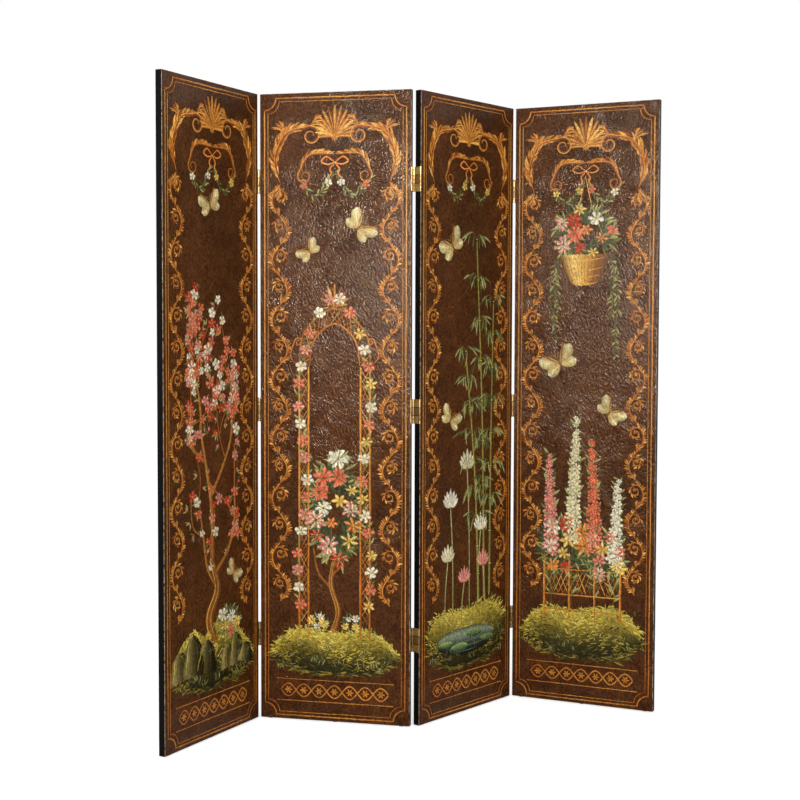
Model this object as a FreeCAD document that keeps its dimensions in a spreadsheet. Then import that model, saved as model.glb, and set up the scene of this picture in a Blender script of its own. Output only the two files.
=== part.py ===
import FreeCAD, Part
import os
import Sketcher
from FreeCAD import Placement, Rotation, Vector

# Free-standing folding screen: four painted leather panels on joined wooden frames,
# hung together by two-way brass hinges that let each pair of panels fold either way.
# The frame is +X to the right seen from the painted side, +Y to the back and +Z up.
# Lengths are in millimetres and turns in degrees.

SIZES = {
    # Overall form
    "screen_height": 1829,
    "panel_width": 450,
    "panel_thickness": 21,
    "panel_gap": 7,
    # How the screen stands: angle of the first panel, then of the fold at each joint
    "first_panel_angle": 62,
    "left_fold_angle": 75,
    "middle_fold_angle": 63,
    "right_fold_angle": 75,
    # Painted leather facing and the boards behind it and at the back
    "leather_thickness": 1.5,
    "leather_edge_round": 0.9,
    "board_thickness": 3,
    "board_clearance": 0.2,
    "rebate_width": 15,
    # Frame joinery
    "stile_width": 45,
    "rail_width": 60,
    "cross_rail_width": 45,
    "arris_chamfer": 1,
    "tenon_length": 25,
    "tenon_thickness": 6,
    "tenon_shoulder": 9,
    "tenon_side_clearance": 0.1,
    "tenon_end_clearance": 0.6,
    # Round glides under each panel: one under each stile and one midway
    "glide_height": 3,
    "glide_radius": 6.5,
    "glide_place_share": 0.6,
    # Two-way hinge
    "hinge_length": 70,
    "hinge_end_distance": 252,
    "pin_proud": 1.5,
    "hinge_pin_radius": 1.6,
    "hinge_pin_clearance": 0.05,
    "barrel_clearance": 0.3,
    "knuckle_end_clearance": 0.25,
    "leaf_thickness": 1.8,
    "plate_clearance": 0.4,
    "leaf_corner_chamfer": 1.2,
    # Overrun of every cut past the face it opens through
    "cut_overrun": 1,
}

# Plain counts and turns
HINGES_PER_JOINT = 3
CROSS_RAILS_PER_PANEL = 2
GLIDES_PER_PANEL = 3
HALF_TURN = 180

# Lengths that follow from the sizes above, as expressions on the sheet
FRAME_DEPTH = "(sizes.panel_thickness - sizes.leather_thickness)"
STILE_LENGTH = "(sizes.screen_height - sizes.glide_height)"
RAIL_SPAN = "(sizes.panel_width - 2 * sizes.stile_width)"
TENON_SPAN = "(%s + 2 * sizes.tenon_length)" % RAIL_SPAN
RAIL_TENON_TOP = "(sizes.rail_width - sizes.rebate_width)"
CROSS_PITCH = "(%s / %d)" % (STILE_LENGTH, CROSS_RAILS_PER_PANEL + 1)
CORE_DEPTH = "(%s - 2 * sizes.board_thickness)" % FRAME_DEPTH
BOARD_INSET = "(sizes.stile_width - sizes.rebate_width + sizes.board_clearance)"
BOARD_LOW = "(sizes.glide_height + sizes.rail_width - sizes.rebate_width + sizes.board_clearance)"
BOARD_HIGH = "(sizes.screen_height - sizes.rail_width + sizes.rebate_width - sizes.board_clearance)"
GLIDE_PLACE = "(sizes.glide_place_share * sizes.stile_width)"
GLIDE_REACH = "(sizes.panel_width - 2 * %s)" % GLIDE_PLACE
PIN_REACH = "(sizes.panel_thickness / 2 + sizes.pin_proud)"
BARREL_RADIUS = "(sizes.panel_gap / 2 - sizes.barrel_clearance)"
PLATE_REACH = "(%s - %s - sizes.barrel_clearance)" % (PIN_REACH, BARREL_RADIUS)
LINK_THICKNESS = "(sizes.panel_gap - 2 * sizes.leaf_thickness - 2 * sizes.plate_clearance)"
KNUCKLE_LENGTH = "(sizes.hinge_length / 2)"
HINGE_RUN = "(sizes.screen_height - 2 * sizes.hinge_end_distance)"
HINGE_FOOT = "(sizes.hinge_end_distance - sizes.hinge_length / 2)"
HINGE_MIDDLE = "sizes.hinge_end_distance"
HINGE_HEAD = "(sizes.hinge_end_distance + sizes.hinge_length / 2)"
LEAF_FACE = "(sizes.leaf_thickness - sizes.panel_gap / 2)"

document = FreeCAD.newDocument("folding_screen")
sheet = document.addObject("Spreadsheet::Sheet", "sizes")
for row, (alias, value) in enumerate(SIZES.items(), start=1):
    sheet.set("A%d" % row, alias.replace("_", " "))
    sheet.set("B%d" % row, str(value))
    sheet.setAlias("B%d" % row, alias)
document.recompute()

sub_parts = []


def number(expression):
    """Value of an expression on the sheet."""
    value = sheet.evalExpression(str(expression))
    return float(getattr(value, "Value", value))


def origin_part(body, role):
    """Origin plane or axis of a body, found by its role."""
    return [item for item in body.Origin.OriginFeatures if item.Role == role][0]


def new_body(name):
    """Empty body whose label is the node's name."""
    body = document.addObject("PartDesign::Body", name)
    body.Label = name
    sub_parts.append(body)
    return body


def new_sketch(body, name, plane, along="0", lift="0"):
    """Sketch on an origin plane, moved along the plane's normal and up in the plane."""
    sketch = body.newObject("Sketcher::SketchObject", name)
    sketch.AttachmentSupport = [(origin_part(body, plane), "")]
    sketch.MapMode = "FlatFace"
    sketch.setExpression("AttachmentOffset.Base.z", along)
    sketch.setExpression("AttachmentOffset.Base.y", lift)
    return sketch


def pin_down(sketch, geometry, point, across, up):
    """Fix a sketch point at two expressions measured from the sketch's origin."""
    for kind, expression in (("DistanceX", across), ("DistanceY", up)):
        rule = Sketcher.Constraint(kind, -1, 1, geometry, point, number(expression))
        index = sketch.addConstraint(rule)
        sketch.setExpression("Constraints[%d]" % index, str(expression))


def outline(sketch, corners):
    """Closed straight-sided outline through corners given as expression pairs."""
    spots = [Vector(number(across), number(up), 0) for across, up in corners]
    sides = []
    for index, spot in enumerate(spots):
        following = spots[(index + 1) % len(spots)]
        sides.append(sketch.addGeometry(Part.LineSegment(spot, following)))
    for index, side in enumerate(sides):
        following = sides[(index + 1) % len(sides)]
        sketch.addConstraint(Sketcher.Constraint("Coincident", side, 2, following, 1))
        pin_down(sketch, side, 1, *corners[index])


def rectangle(sketch, left, right, low, high):
    """Rectangle between four expressions."""
    outline(sketch, [(left, low), (right, low), (right, high), (left, high)])


def circle(sketch, across, up, radius):
    """Circle whose centre and radius are expressions."""
    centre = Vector(number(across), number(up), 0)
    ring = sketch.addGeometry(Part.Circle(centre, Vector(0, 0, 1), number(radius)))
    pin_down(sketch, ring, 3, across, up)
    index = sketch.addConstraint(Sketcher.Constraint("Radius", ring, number(radius)))
    sketch.setExpression("Constraints[%d]" % index, str(radius))


def pad(body, sketch, length):
    """Solid raised from a sketch along its plane's normal."""
    feature = body.newObject("PartDesign::Pad", sketch.Name + "_pad")
    feature.Profile = sketch
    feature.setExpression("Length", length)
    return feature


def cut(body, sketch, length, onward=False):
    """Pocket sunk against the plane's normal, or along it when onward is true."""
    document.recompute()
    before = body.Shape.Volume
    feature = body.newObject("PartDesign::Pocket", sketch.Name + "_cut")
    feature.Profile = sketch
    feature.setExpression("Length", length)
    feature.Reversed = onward
    document.recompute()
    if body.Shape.Volume >= before:
        raise RuntimeError("%s removes nothing" % feature.Name)
    return feature


def repeat(body, features, axis, run, count, name):
    """Evenly spaced copies of features, or of the whole body when none are given."""
    document.recompute()
    feature = body.newObject("PartDesign::LinearPattern", name)
    if features:
        feature.Originals = features
    else:
        feature.TransformMode = "Whole shape"
    feature.Direction = (origin_part(body, axis), [""])
    feature.setExpression("Length", run)
    feature.Occurrences = count
    body.Tip = feature
    return feature


# Frame members. They stand in their own frame, centred on the frame's depth,
# so that the right stile and the top rail are the left stile and the bottom rail turned round.

def mortise_heights():
    """Low and high edge of each mortise in a stile, from the stile's foot up."""
    slack = "sizes.tenon_side_clearance"
    heights = [
        ("sizes.tenon_shoulder - %s" % slack, "%s + %s" % (RAIL_TENON_TOP, slack)),
        (
            "%s - %s - %s" % (STILE_LENGTH, RAIL_TENON_TOP, slack),
            "%s - sizes.tenon_shoulder + %s" % (STILE_LENGTH, slack),
        ),
    ]
    half = "(sizes.cross_rail_width / 2 - sizes.tenon_shoulder + %s)" % slack
    for place in range(1, CROSS_RAILS_PER_PANEL + 1):
        centre = "%s * %d" % (CROSS_PITCH, place)
        heights.append(("%s - %s" % (centre, half), "%s + %s" % (centre, half)))
    return heights


def make_stile(name, back):
    """Upright with its outer face at x = 0; back is the sign of the side that faces backwards."""
    body = new_body(name)
    outer = new_sketch(body, name + "_section", "XY_Plane")
    rear = "%d * %s / 2" % (back, FRAME_DEPTH)
    rear_inside = "%d * (%s / 2 - sizes.arris_chamfer)" % (back, FRAME_DEPTH)
    front = "%d * %s / 2" % (-back, FRAME_DEPTH)
    outline(outer, [
        ("0", front),
        ("sizes.stile_width", front),
        ("sizes.stile_width", rear),
        ("sizes.arris_chamfer", rear),
        ("0", rear_inside),
    ])
    pad(body, outer, STILE_LENGTH)
    rebates = new_sketch(
        body, name + "_rebates", "XY_Plane", along="sizes.rail_width - sizes.rebate_width"
    )
    for side in (-1, 1):
        rectangle(
            rebates,
            "sizes.stile_width - sizes.rebate_width",
            "sizes.stile_width + sizes.cut_overrun",
            "%d * %s / 2" % (side, CORE_DEPTH),
            "%d * (%s / 2 + sizes.cut_overrun)" % (side, FRAME_DEPTH),
        )
    cut(body, rebates, "%s - 2 * (sizes.rail_width - sizes.rebate_width)" % STILE_LENGTH, True)
    mortises = new_sketch(body, name + "_mortises", "YZ_Plane", along="sizes.stile_width")
    half = "(sizes.tenon_thickness / 2 + sizes.tenon_side_clearance)"
    for low, high in mortise_heights():
        rectangle(mortises, "-%s" % half, half, low, high)
    cut(body, mortises, "sizes.tenon_length + sizes.tenon_end_clearance")
    return body


def make_rail(name, back):
    """Rail with its outer edge at z = 0; back is the sign of the side that faces backwards."""
    body = new_body(name)
    section = new_sketch(body, name + "_section", "YZ_Plane", along="sizes.stile_width")
    shoulder = "sizes.rail_width - sizes.rebate_width"
    rear, front = "%d * %s / 2" % (back, FRAME_DEPTH), "%d * %s / 2" % (-back, FRAME_DEPTH)
    core_rear, core_front = "%d * %s / 2" % (back, CORE_DEPTH), "%d * %s / 2" % (-back, CORE_DEPTH)
    outline(section, [
        (front, "0"),
        ("%d * (%s / 2 - sizes.arris_chamfer)" % (back, FRAME_DEPTH), "0"),
        (rear, "sizes.arris_chamfer"),
        (rear, shoulder),
        (core_rear, shoulder),
        (core_rear, "sizes.rail_width"),
        (core_front, "sizes.rail_width"),
        (core_front, shoulder),
        (front, shoulder),
    ])
    pad(body, section, RAIL_SPAN)
    tenon = new_sketch(
        body, name + "_tenon", "YZ_Plane", along="sizes.stile_width - sizes.tenon_length"
    )
    half = "sizes.tenon_thickness / 2"
    rectangle(tenon, "-" + half, half, "sizes.tenon_shoulder", RAIL_TENON_TOP)
    pad(body, tenon, TENON_SPAN)
    return body


def make_cross_rails(name):
    """Inner rails, spaced evenly up the frame, that keep the boards flat."""
    body = new_body(name)
    section = new_sketch(
        body, name + "_section", "YZ_Plane", along="sizes.stile_width", lift=CROSS_PITCH
    )
    half_width = "sizes.cross_rail_width / 2"
    rectangle(section, "-%s / 2" % CORE_DEPTH, "%s / 2" % CORE_DEPTH, "-" + half_width, half_width)
    pad(body, section, RAIL_SPAN)
    tenon = new_sketch(
        body, name + "_tenon", "YZ_Plane",
        along="sizes.stile_width - sizes.tenon_length", lift=CROSS_PITCH,
    )
    half = "sizes.tenon_thickness / 2"
    edge = "(%s - sizes.tenon_shoulder)" % half_width
    rectangle(tenon, "-" + half, half, "-" + edge, edge)
    pad(body, tenon, TENON_SPAN)
    run = "%s * %d" % (CROSS_PITCH, CROSS_RAILS_PER_PANEL - 1)
    repeat(body, None, "Z_Axis", run, CROSS_RAILS_PER_PANEL, name + "_row")
    return body


# Facings, in the panel's own frame: x from the left edge, y = 0 at the painted face.

def make_board(name, front):
    """Thin board let into the frame's rebate; front is its nearer face."""
    body = new_body(name)
    section = new_sketch(body, name + "_section", "XY_Plane", along=BOARD_LOW)
    rectangle(
        section,
        BOARD_INSET, "sizes.panel_width - %s" % BOARD_INSET,
        front, "%s + sizes.board_thickness" % front,
    )
    pad(body, section, "%s - %s" % (BOARD_HIGH, BOARD_LOW))
    return body


def make_leather(name):
    """Leather facing that covers frame and board, with its painted edges rounded over."""
    body = new_body(name)
    section = new_sketch(body, name + "_section", "XY_Plane", along="sizes.glide_height")
    rectangle(section, "0", "sizes.panel_width", "0", "sizes.leather_thickness")
    slab = pad(body, section, STILE_LENGTH)
    document.recompute()
    middle = number("sizes.leather_thickness") / 2
    painted_edges = [
        "Edge%d" % index
        for index, edge in enumerate(slab.Shape.Edges, start=1)
        if all(vertex.Y < middle for vertex in edge.Vertexes)
    ]
    rounding = body.newObject("PartDesign::Fillet", name + "_edge_round")
    rounding.Base = (slab, painted_edges)
    rounding.setExpression("Radius", "sizes.leather_edge_round")
    return body


def make_glides(name):
    """Row of round glides, soles at z = 0."""
    body = new_body(name)
    section = new_sketch(body, name + "_section", "XY_Plane")
    circle(section, "0", "0", "sizes.glide_radius")
    pad(body, section, "sizes.glide_height")
    repeat(body, None, "X_Axis", GLIDE_REACH, GLIDES_PER_PANEL, name + "_row")
    return body


# Two-way hinge. Its own frame has x = 0 midway across the gap between two closed panels,
# y = 0 at mid thickness, the front pin at -y and the back pin at +y.

def make_leaves(name):
    """Plates on the left panel's edge; each carries the lower knuckle of the back pin."""
    body = new_body(name)
    plate = new_sketch(body, name + "_plate", "YZ_Plane", along="-sizes.panel_gap / 2")
    corner = "sizes.leaf_corner_chamfer"
    outline(plate, [
        (PLATE_REACH, HINGE_FOOT),
        (PLATE_REACH, HINGE_HEAD),
        ("%s - %s" % (corner, PLATE_REACH), HINGE_HEAD),
        ("-" + PLATE_REACH, "%s - %s" % (HINGE_HEAD, corner)),
        ("-" + PLATE_REACH, "%s + %s" % (HINGE_FOOT, corner)),
        ("%s - %s" % (corner, PLATE_REACH), HINGE_FOOT),
    ])
    pad(body, plate, "sizes.leaf_thickness")
    length = "%s - sizes.knuckle_end_clearance" % KNUCKLE_LENGTH
    curl = new_sketch(body, name + "_curl", "XY_Plane", along=HINGE_FOOT)
    outline(curl, [
        ("-sizes.panel_gap / 2", PLATE_REACH),
        (LEAF_FACE, PLATE_REACH),
        (LEAF_FACE, PIN_REACH),
        ("-" + BARREL_RADIUS, PIN_REACH),
    ])
    pad(body, curl, length)
    knuckle = new_sketch(body, name + "_knuckle", "XY_Plane", along=HINGE_FOOT)
    circle(knuckle, "0", PIN_REACH, BARREL_RADIUS)
    pad(body, knuckle, length)
    bore = new_sketch(body, name + "_bore", "XY_Plane", along=HINGE_FOOT)
    circle(bore, "0", PIN_REACH, "sizes.hinge_pin_radius + sizes.hinge_pin_clearance")
    cut(body, bore, "sizes.hinge_length", True)
    repeat(body, None, "Z_Axis", HINGE_RUN, HINGES_PER_JOINT, name + "_row")
    return body


def make_links(name):
    """Links between the two pins: a plate that narrows between both leaves' knuckles,
    the two upper knuckles, and a pin that runs down from each through the leaf's knuckle."""
    body = new_body(name)
    plate = new_sketch(body, name + "_plate", "YZ_Plane", along="-%s / 2" % LINK_THICKNESS)
    outline(plate, [
        ("-" + PLATE_REACH, HINGE_FOOT),
        (PLATE_REACH, HINGE_FOOT),
        (PLATE_REACH, HINGE_MIDDLE),
        (PIN_REACH, HINGE_MIDDLE),
        (PIN_REACH, HINGE_HEAD),
        ("-" + PIN_REACH, HINGE_HEAD),
        ("-" + PIN_REACH, HINGE_MIDDLE),
        ("-" + PLATE_REACH, HINGE_MIDDLE),
    ])
    pad(body, plate, LINK_THICKNESS)
    knuckles = new_sketch(body, name + "_knuckles", "XY_Plane", along=HINGE_MIDDLE)
    pins = new_sketch(body, name + "_pins", "XY_Plane", along=HINGE_FOOT)
    for side in (-1, 1):
        circle(knuckles, "0", "%d * %s" % (side, PIN_REACH), BARREL_RADIUS)
        circle(pins, "0", "%d * %s" % (side, PIN_REACH), "sizes.hinge_pin_radius")
    pad(body, knuckles, KNUCKLE_LENGTH)
    pad(body, pins, KNUCKLE_LENGTH)
    repeat(body, None, "Z_Axis", HINGE_RUN, HINGES_PER_JOINT, name + "_row")
    return body


# Assembly. Each panel's own frame has x = 0 at its left edge, y = 0 at its painted face
# and z = 0 on the floor; each hinge joins one panel's right edge to the next one's left edge.

UP = Vector(0, 0, 1)


def moved(across, back, up=0.0):
    """Placement that only moves."""
    return Placement(Vector(across, back, up), Rotation())


def swung(angle, across=0.0, back=0.0):
    """Placement that turns by an angle about an upright axis."""
    return Placement(Vector(), Rotation(UP, angle), Vector(across, back, 0))


def place_panel(index, home):
    """Make the pieces of one panel and set them at the panel's placement."""
    label = "panel_%d_" % index
    width, depth = number("sizes.panel_width"), number(FRAME_DEPTH)
    foot, head = number("sizes.glide_height"), number("sizes.screen_height")
    middle = number("sizes.leather_thickness") + depth / 2
    frame = home * moved(0, middle, foot)
    leather = "sizes.leather_thickness"
    spots = [
        (make_stile(label + "stile_left", 1), frame),
        (make_stile(label + "stile_right", -1), frame * moved(width, 0) * swung(HALF_TURN)),
        (make_rail(label + "bottom_rail", 1), frame),
        (make_rail(label + "top_rail", -1),
         home * moved(0, middle, head) * Placement(Vector(), Rotation(Vector(1, 0, 0), HALF_TURN))),
        (make_cross_rails(label + "cross_rails"), frame),
        (make_board(label + "front_board", leather), home),
        (make_board(label + "back_board", "sizes.panel_thickness - sizes.board_thickness"), home),
        (make_leather(label + "painted_leather"), home),
        (make_glides(label + "glides"), home * moved(number(GLIDE_PLACE), middle)),
    ]
    for body, spot in spots:
        body.Placement = spot


def place_hinge(label, closed, front_fold, back_fold):
    """Make one joint's hinges at a closed placement and return where the next panel hangs."""
    reach = number(PIN_REACH)
    linked = closed * swung(back_fold, 0, reach)
    opened = linked * swung(-front_fold, 0, -reach)
    make_leaves(label + "_leaves_left").Placement = closed
    make_links(label + "_links").Placement = linked
    make_leaves(label + "_leaves_right").Placement = opened * swung(HALF_TURN)
    for side, pin in ((-1, "front"), (1, "back")):
        spot = linked.multVec(Vector(0, side * reach, 0))
        pin_axes.append((label, pin, spot))
    return opened


def check_model():
    """Stop at the first object that failed and the first piece with no sound shape."""
    for item in document.Objects:
        if "Invalid" in item.State or "Error" in item.State:
            raise RuntimeError("%s failed: %s" % (item.Name, item.State))
    for body in sub_parts:
        if body.Shape.isNull() or not body.Shape.isValid():
            raise RuntimeError("%s has no sound shape" % body.Label)


pin_axes = []
half_gap, half_depth = number("sizes.panel_gap / 2"), number("sizes.panel_thickness / 2")
home = swung(number("sizes.first_panel_angle"))
folds = [
    ("hinge_12", number("sizes.left_fold_angle"), 0),
    ("hinge_23", 0, number("sizes.middle_fold_angle")),
    ("hinge_34", number("sizes.right_fold_angle"), 0),
]
place_panel(1, home)
for index, (label, front_fold, back_fold) in enumerate(folds, start=2):
    closed = home * moved(number("sizes.panel_width") + half_gap, half_depth)
    home = place_hinge(label, closed, front_fold, back_fold) * moved(half_gap, -half_depth)
    place_panel(index, home)
document.recompute()
check_model()

# The origin goes to the middle of the standing screen's outline, on the floor.
extent = FreeCAD.BoundBox()
for body in sub_parts:
    extent.add(body.Shape.optimalBoundingBox())
centring = moved(-extent.Center.x, -extent.Center.y, -extent.ZMin)
for body in sub_parts:
    body.Placement = centring * body.Placement
document.recompute()

check_model()

os.makedirs("parts", exist_ok=True)
for body in sub_parts:
    body.Shape.exportStep("parts/%s.step" % body.Label)
    print("%-28s solids %d  volume %.1f" % (body.Label, len(body.Shape.Solids), body.Shape.Volume))
for label, pin, spot in pin_axes:
    spot = centring.multVec(spot)
    print("%s %s pin axis at x %.4f y %.4f" % (label, pin, spot.x, spot.y))
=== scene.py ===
import logging
import math
from collections.abc import Callable, Sequence
from dataclasses import dataclass, field
from enum import Enum

import bmesh
import bpy
import numpy as np
from mathutils import Matrix, Vector


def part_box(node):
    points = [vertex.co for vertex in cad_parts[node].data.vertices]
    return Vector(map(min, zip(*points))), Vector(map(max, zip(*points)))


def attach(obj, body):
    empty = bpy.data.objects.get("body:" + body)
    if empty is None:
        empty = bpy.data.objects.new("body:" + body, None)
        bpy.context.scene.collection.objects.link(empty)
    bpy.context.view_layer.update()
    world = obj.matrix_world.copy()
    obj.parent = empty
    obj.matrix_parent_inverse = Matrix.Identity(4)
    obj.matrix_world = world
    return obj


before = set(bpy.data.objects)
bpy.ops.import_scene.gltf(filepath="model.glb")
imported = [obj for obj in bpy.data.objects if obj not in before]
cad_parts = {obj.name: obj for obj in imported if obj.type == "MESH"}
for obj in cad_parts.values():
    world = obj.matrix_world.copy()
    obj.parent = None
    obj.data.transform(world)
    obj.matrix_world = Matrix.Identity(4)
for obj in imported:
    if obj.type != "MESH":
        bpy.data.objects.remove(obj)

# Looks of the folding screen: varnished leather, rubbed black frames, worn brass hinges and
# a painted border and picture on each panel. The scene is in metres; each painting is laid out
# in millimetres on the flat of its panel, from the lower left corner.

log = logging.getLogger("folding_screen")
Colour = tuple[float, float, float]
Line = Sequence[tuple[float, float]]

MM = 0.001
VARNISH = (1.0, 0.79, 0.61, 1.0)
# Between these heights the leather's colour goes from painted shade in its creases to a painted
# highlight on its crests.
CREASE, CREST = 0.4, 0.68  # heights of the leather's relief
SMOOTH_POINTS = 60
TURN = 2 * math.pi
QUARTER = math.pi / 2
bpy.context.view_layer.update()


# ---------------------------------------------------------------- places


@dataclass(frozen=True)
class PanelPlace:
    """Where one panel stands. Its own axes run along its width, back through it, and up."""

    index: int
    origin: Vector
    turn: float
    width: float
    thickness: float
    height: float

    @classmethod
    def read(cls, index: int) -> "PanelPlace":
        """Find a panel's place from the leather and a stile of the frame.

        Args:
            index: Number of the panel, from 1 at the left.

        Returns:
            The place, with its origin at the painted face's left edge, at floor level.
        """
        leather = cls._plan(f"panel_{index}_painted_leather")
        _, _, axes = np.linalg.svd(leather - leather.mean(0), full_matrices=False)
        along = axes[0] * np.sign(axes[0][0])
        back = np.array([-along[1], along[0]])
        left, front = (leather @ along).min(), (leather @ back).min()
        corner = along * left + back * front
        stile = cls._plan(f"panel_{index}_stile_left")
        return cls(
            index=index,
            origin=Vector((corner[0], corner[1], 0.0)),
            turn=math.atan2(along[1], along[0]),
            width=float((leather @ along).max() - left),
            thickness=float((stile @ back).max() - front),
            height=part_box(f"panel_{index}_painted_leather")[1].z,
        )

    @staticmethod
    def _plan(node: str) -> np.ndarray:
        """Plan coordinates of a node's vertices."""
        return np.array([vertex.co[:2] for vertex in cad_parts[node].data.vertices])

    @property
    def matrix(self) -> Matrix:
        """Turns the panel's own coordinates into the frame's."""
        return Matrix.Translation(self.origin) @ Matrix.Rotation(self.turn, 4, "Z")

    @property
    def body(self) -> str:
        """Name of the body that the panel's pieces ride on."""
        return f"panel_{self.index}"


# ---------------------------------------------------------------- colours and node graphs


def ink(code: str) -> Colour:
    """Linear colour of a six-digit screen colour."""
    shares = [int(code[at:at + 2], 16) / 255 for at in (0, 2, 4)]
    return tuple(c / 12.92 if c <= 0.04045 else ((c + 0.055) / 1.055) ** 2.4 for c in shares)


def select_only(*chosen: bpy.types.Object) -> None:
    """Select these objects alone and make the first one active."""
    bpy.ops.object.select_all(action="DESELECT")
    for item in chosen:
        item.select_set(True)
    if chosen:
        bpy.context.view_layer.objects.active = chosen[0]


class Graph:
    """Adds and joins the nodes of one node tree."""

    def __init__(self, tree: bpy.types.NodeTree) -> None:
        self.tree = tree

    def link(self, source: bpy.types.NodeSocket, target: bpy.types.NodeSocket) -> None:
        """Join two sockets."""
        self.tree.links.new(source, target)

    def add(self, kind: str, inputs: dict | None = None, **settings: object) -> bpy.types.Node:
        """Add a node.

        Args:
            kind: Node type without its ShaderNode prefix.
            inputs: Socket name or number to a value, or to the socket that feeds it.
            settings: Properties of the node.

        Returns:
            The node.
        """
        node = self.tree.nodes.new(kind if kind.startswith("Node") else "ShaderNode" + kind)
        for name, value in settings.items():
            setattr(node, name, value)
        for name, value in (inputs or {}).items():
            if isinstance(value, bpy.types.NodeSocket):
                self.link(value, node.inputs[name])
            elif isinstance(value, tuple) and len(value) == 3 and node.inputs[name].type == "RGBA":
                node.inputs[name].default_value = (*value, 1.0)
            else:
                node.inputs[name].default_value = value
        return node

    def sum(self, kind: str, first: object, second: object = 0.0) -> object:
        """Result of a Math node with one or two values."""
        return self.add("Math", {0: first, 1: second}, operation=kind).outputs[0]

    def vector(self, kind: str, first: object, second: object = (0.0, 0.0, 0.0)) -> object:
        """Result of a Vector Math node."""
        return self.add("VectorMath", {0: first, 1: second}, operation=kind).outputs[0]

    def remap(self, value: object, low: object, high: object, start: float = 0.0,
              end: float = 1.0) -> object:
        """Smooth step from start to end as value goes from low to high."""
        inputs = {"Value": value, "From Min": low, "From Max": high, "To Min": start, "To Max": end}
        return self.add("MapRange", inputs, interpolation_type="SMOOTHSTEP").outputs[0]

    def noise(self, place: object, scale: object, detail: float = 3.0, rough: float = 0.55,
              output: int | str = 0) -> object:
        """One output of a Noise Texture, its value unless another is named."""
        inputs = {"Vector": place, "Scale": scale, "Detail": detail, "Roughness": rough}
        return self.add("TexNoise", inputs).outputs[output]

    def streaks(self, place: object, stretch: tuple[float, float, float], scale: float = 1.0,
                detail: float = 3.0, rough: float = 0.55) -> object:
        """Noise on coordinates that are scaled by axis first."""
        stretched = self.add("Mapping", {"Vector": place, "Scale": stretch}).outputs[0]
        return self.noise(stretched, scale, detail, rough)

    def mix(self, share: object, first: object, second: object) -> object:
        """Colour mixed from two colours."""
        return self.add("Mix", {0: share, 6: first, 7: second}, data_type="RGBA").outputs[2]

    def blend(self, share: object, first: object, second: object) -> object:
        """Value mixed from two values."""
        return self.add("Mix", {0: share, 2: first, 3: second}, data_type="FLOAT").outputs[0]

    def shade(self, colour: object, brightness: object) -> object:
        """The colour made brighter or darker."""
        return self.add("VectorMath", {0: colour, "Scale": brightness},
                        operation="SCALE").outputs[0]

    def group(self, tree: bpy.types.NodeTree, **inputs: object) -> bpy.types.bpy_prop_collection:
        """Outputs of a shared node group."""
        return self.add("Group", inputs, node_tree=tree).outputs

    def finish(self, shader: bpy.types.Node, colour: object, rough: object = None,
               height: object = None, depth: float = 0.0, strength: float = 0.0) -> None:
        """Feed a Principled shader.

        Args:
            shader: The shader.
            colour: Its base colour.
            rough: Its roughness, where that varies.
            height: Relief for its normal, where it has some.
            depth: Depth of the relief in metres.
            strength: Share of the relief that shows.
        """
        self.link(colour, shader.inputs["Base Color"])
        if rough is not None:
            self.link(rough, shader.inputs["Roughness"])
        if height is not None:
            inputs = {"Height": height, "Distance": depth, "Strength": strength}
            self.link(self.add("Bump", inputs).outputs[0], shader.inputs["Normal"])


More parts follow.
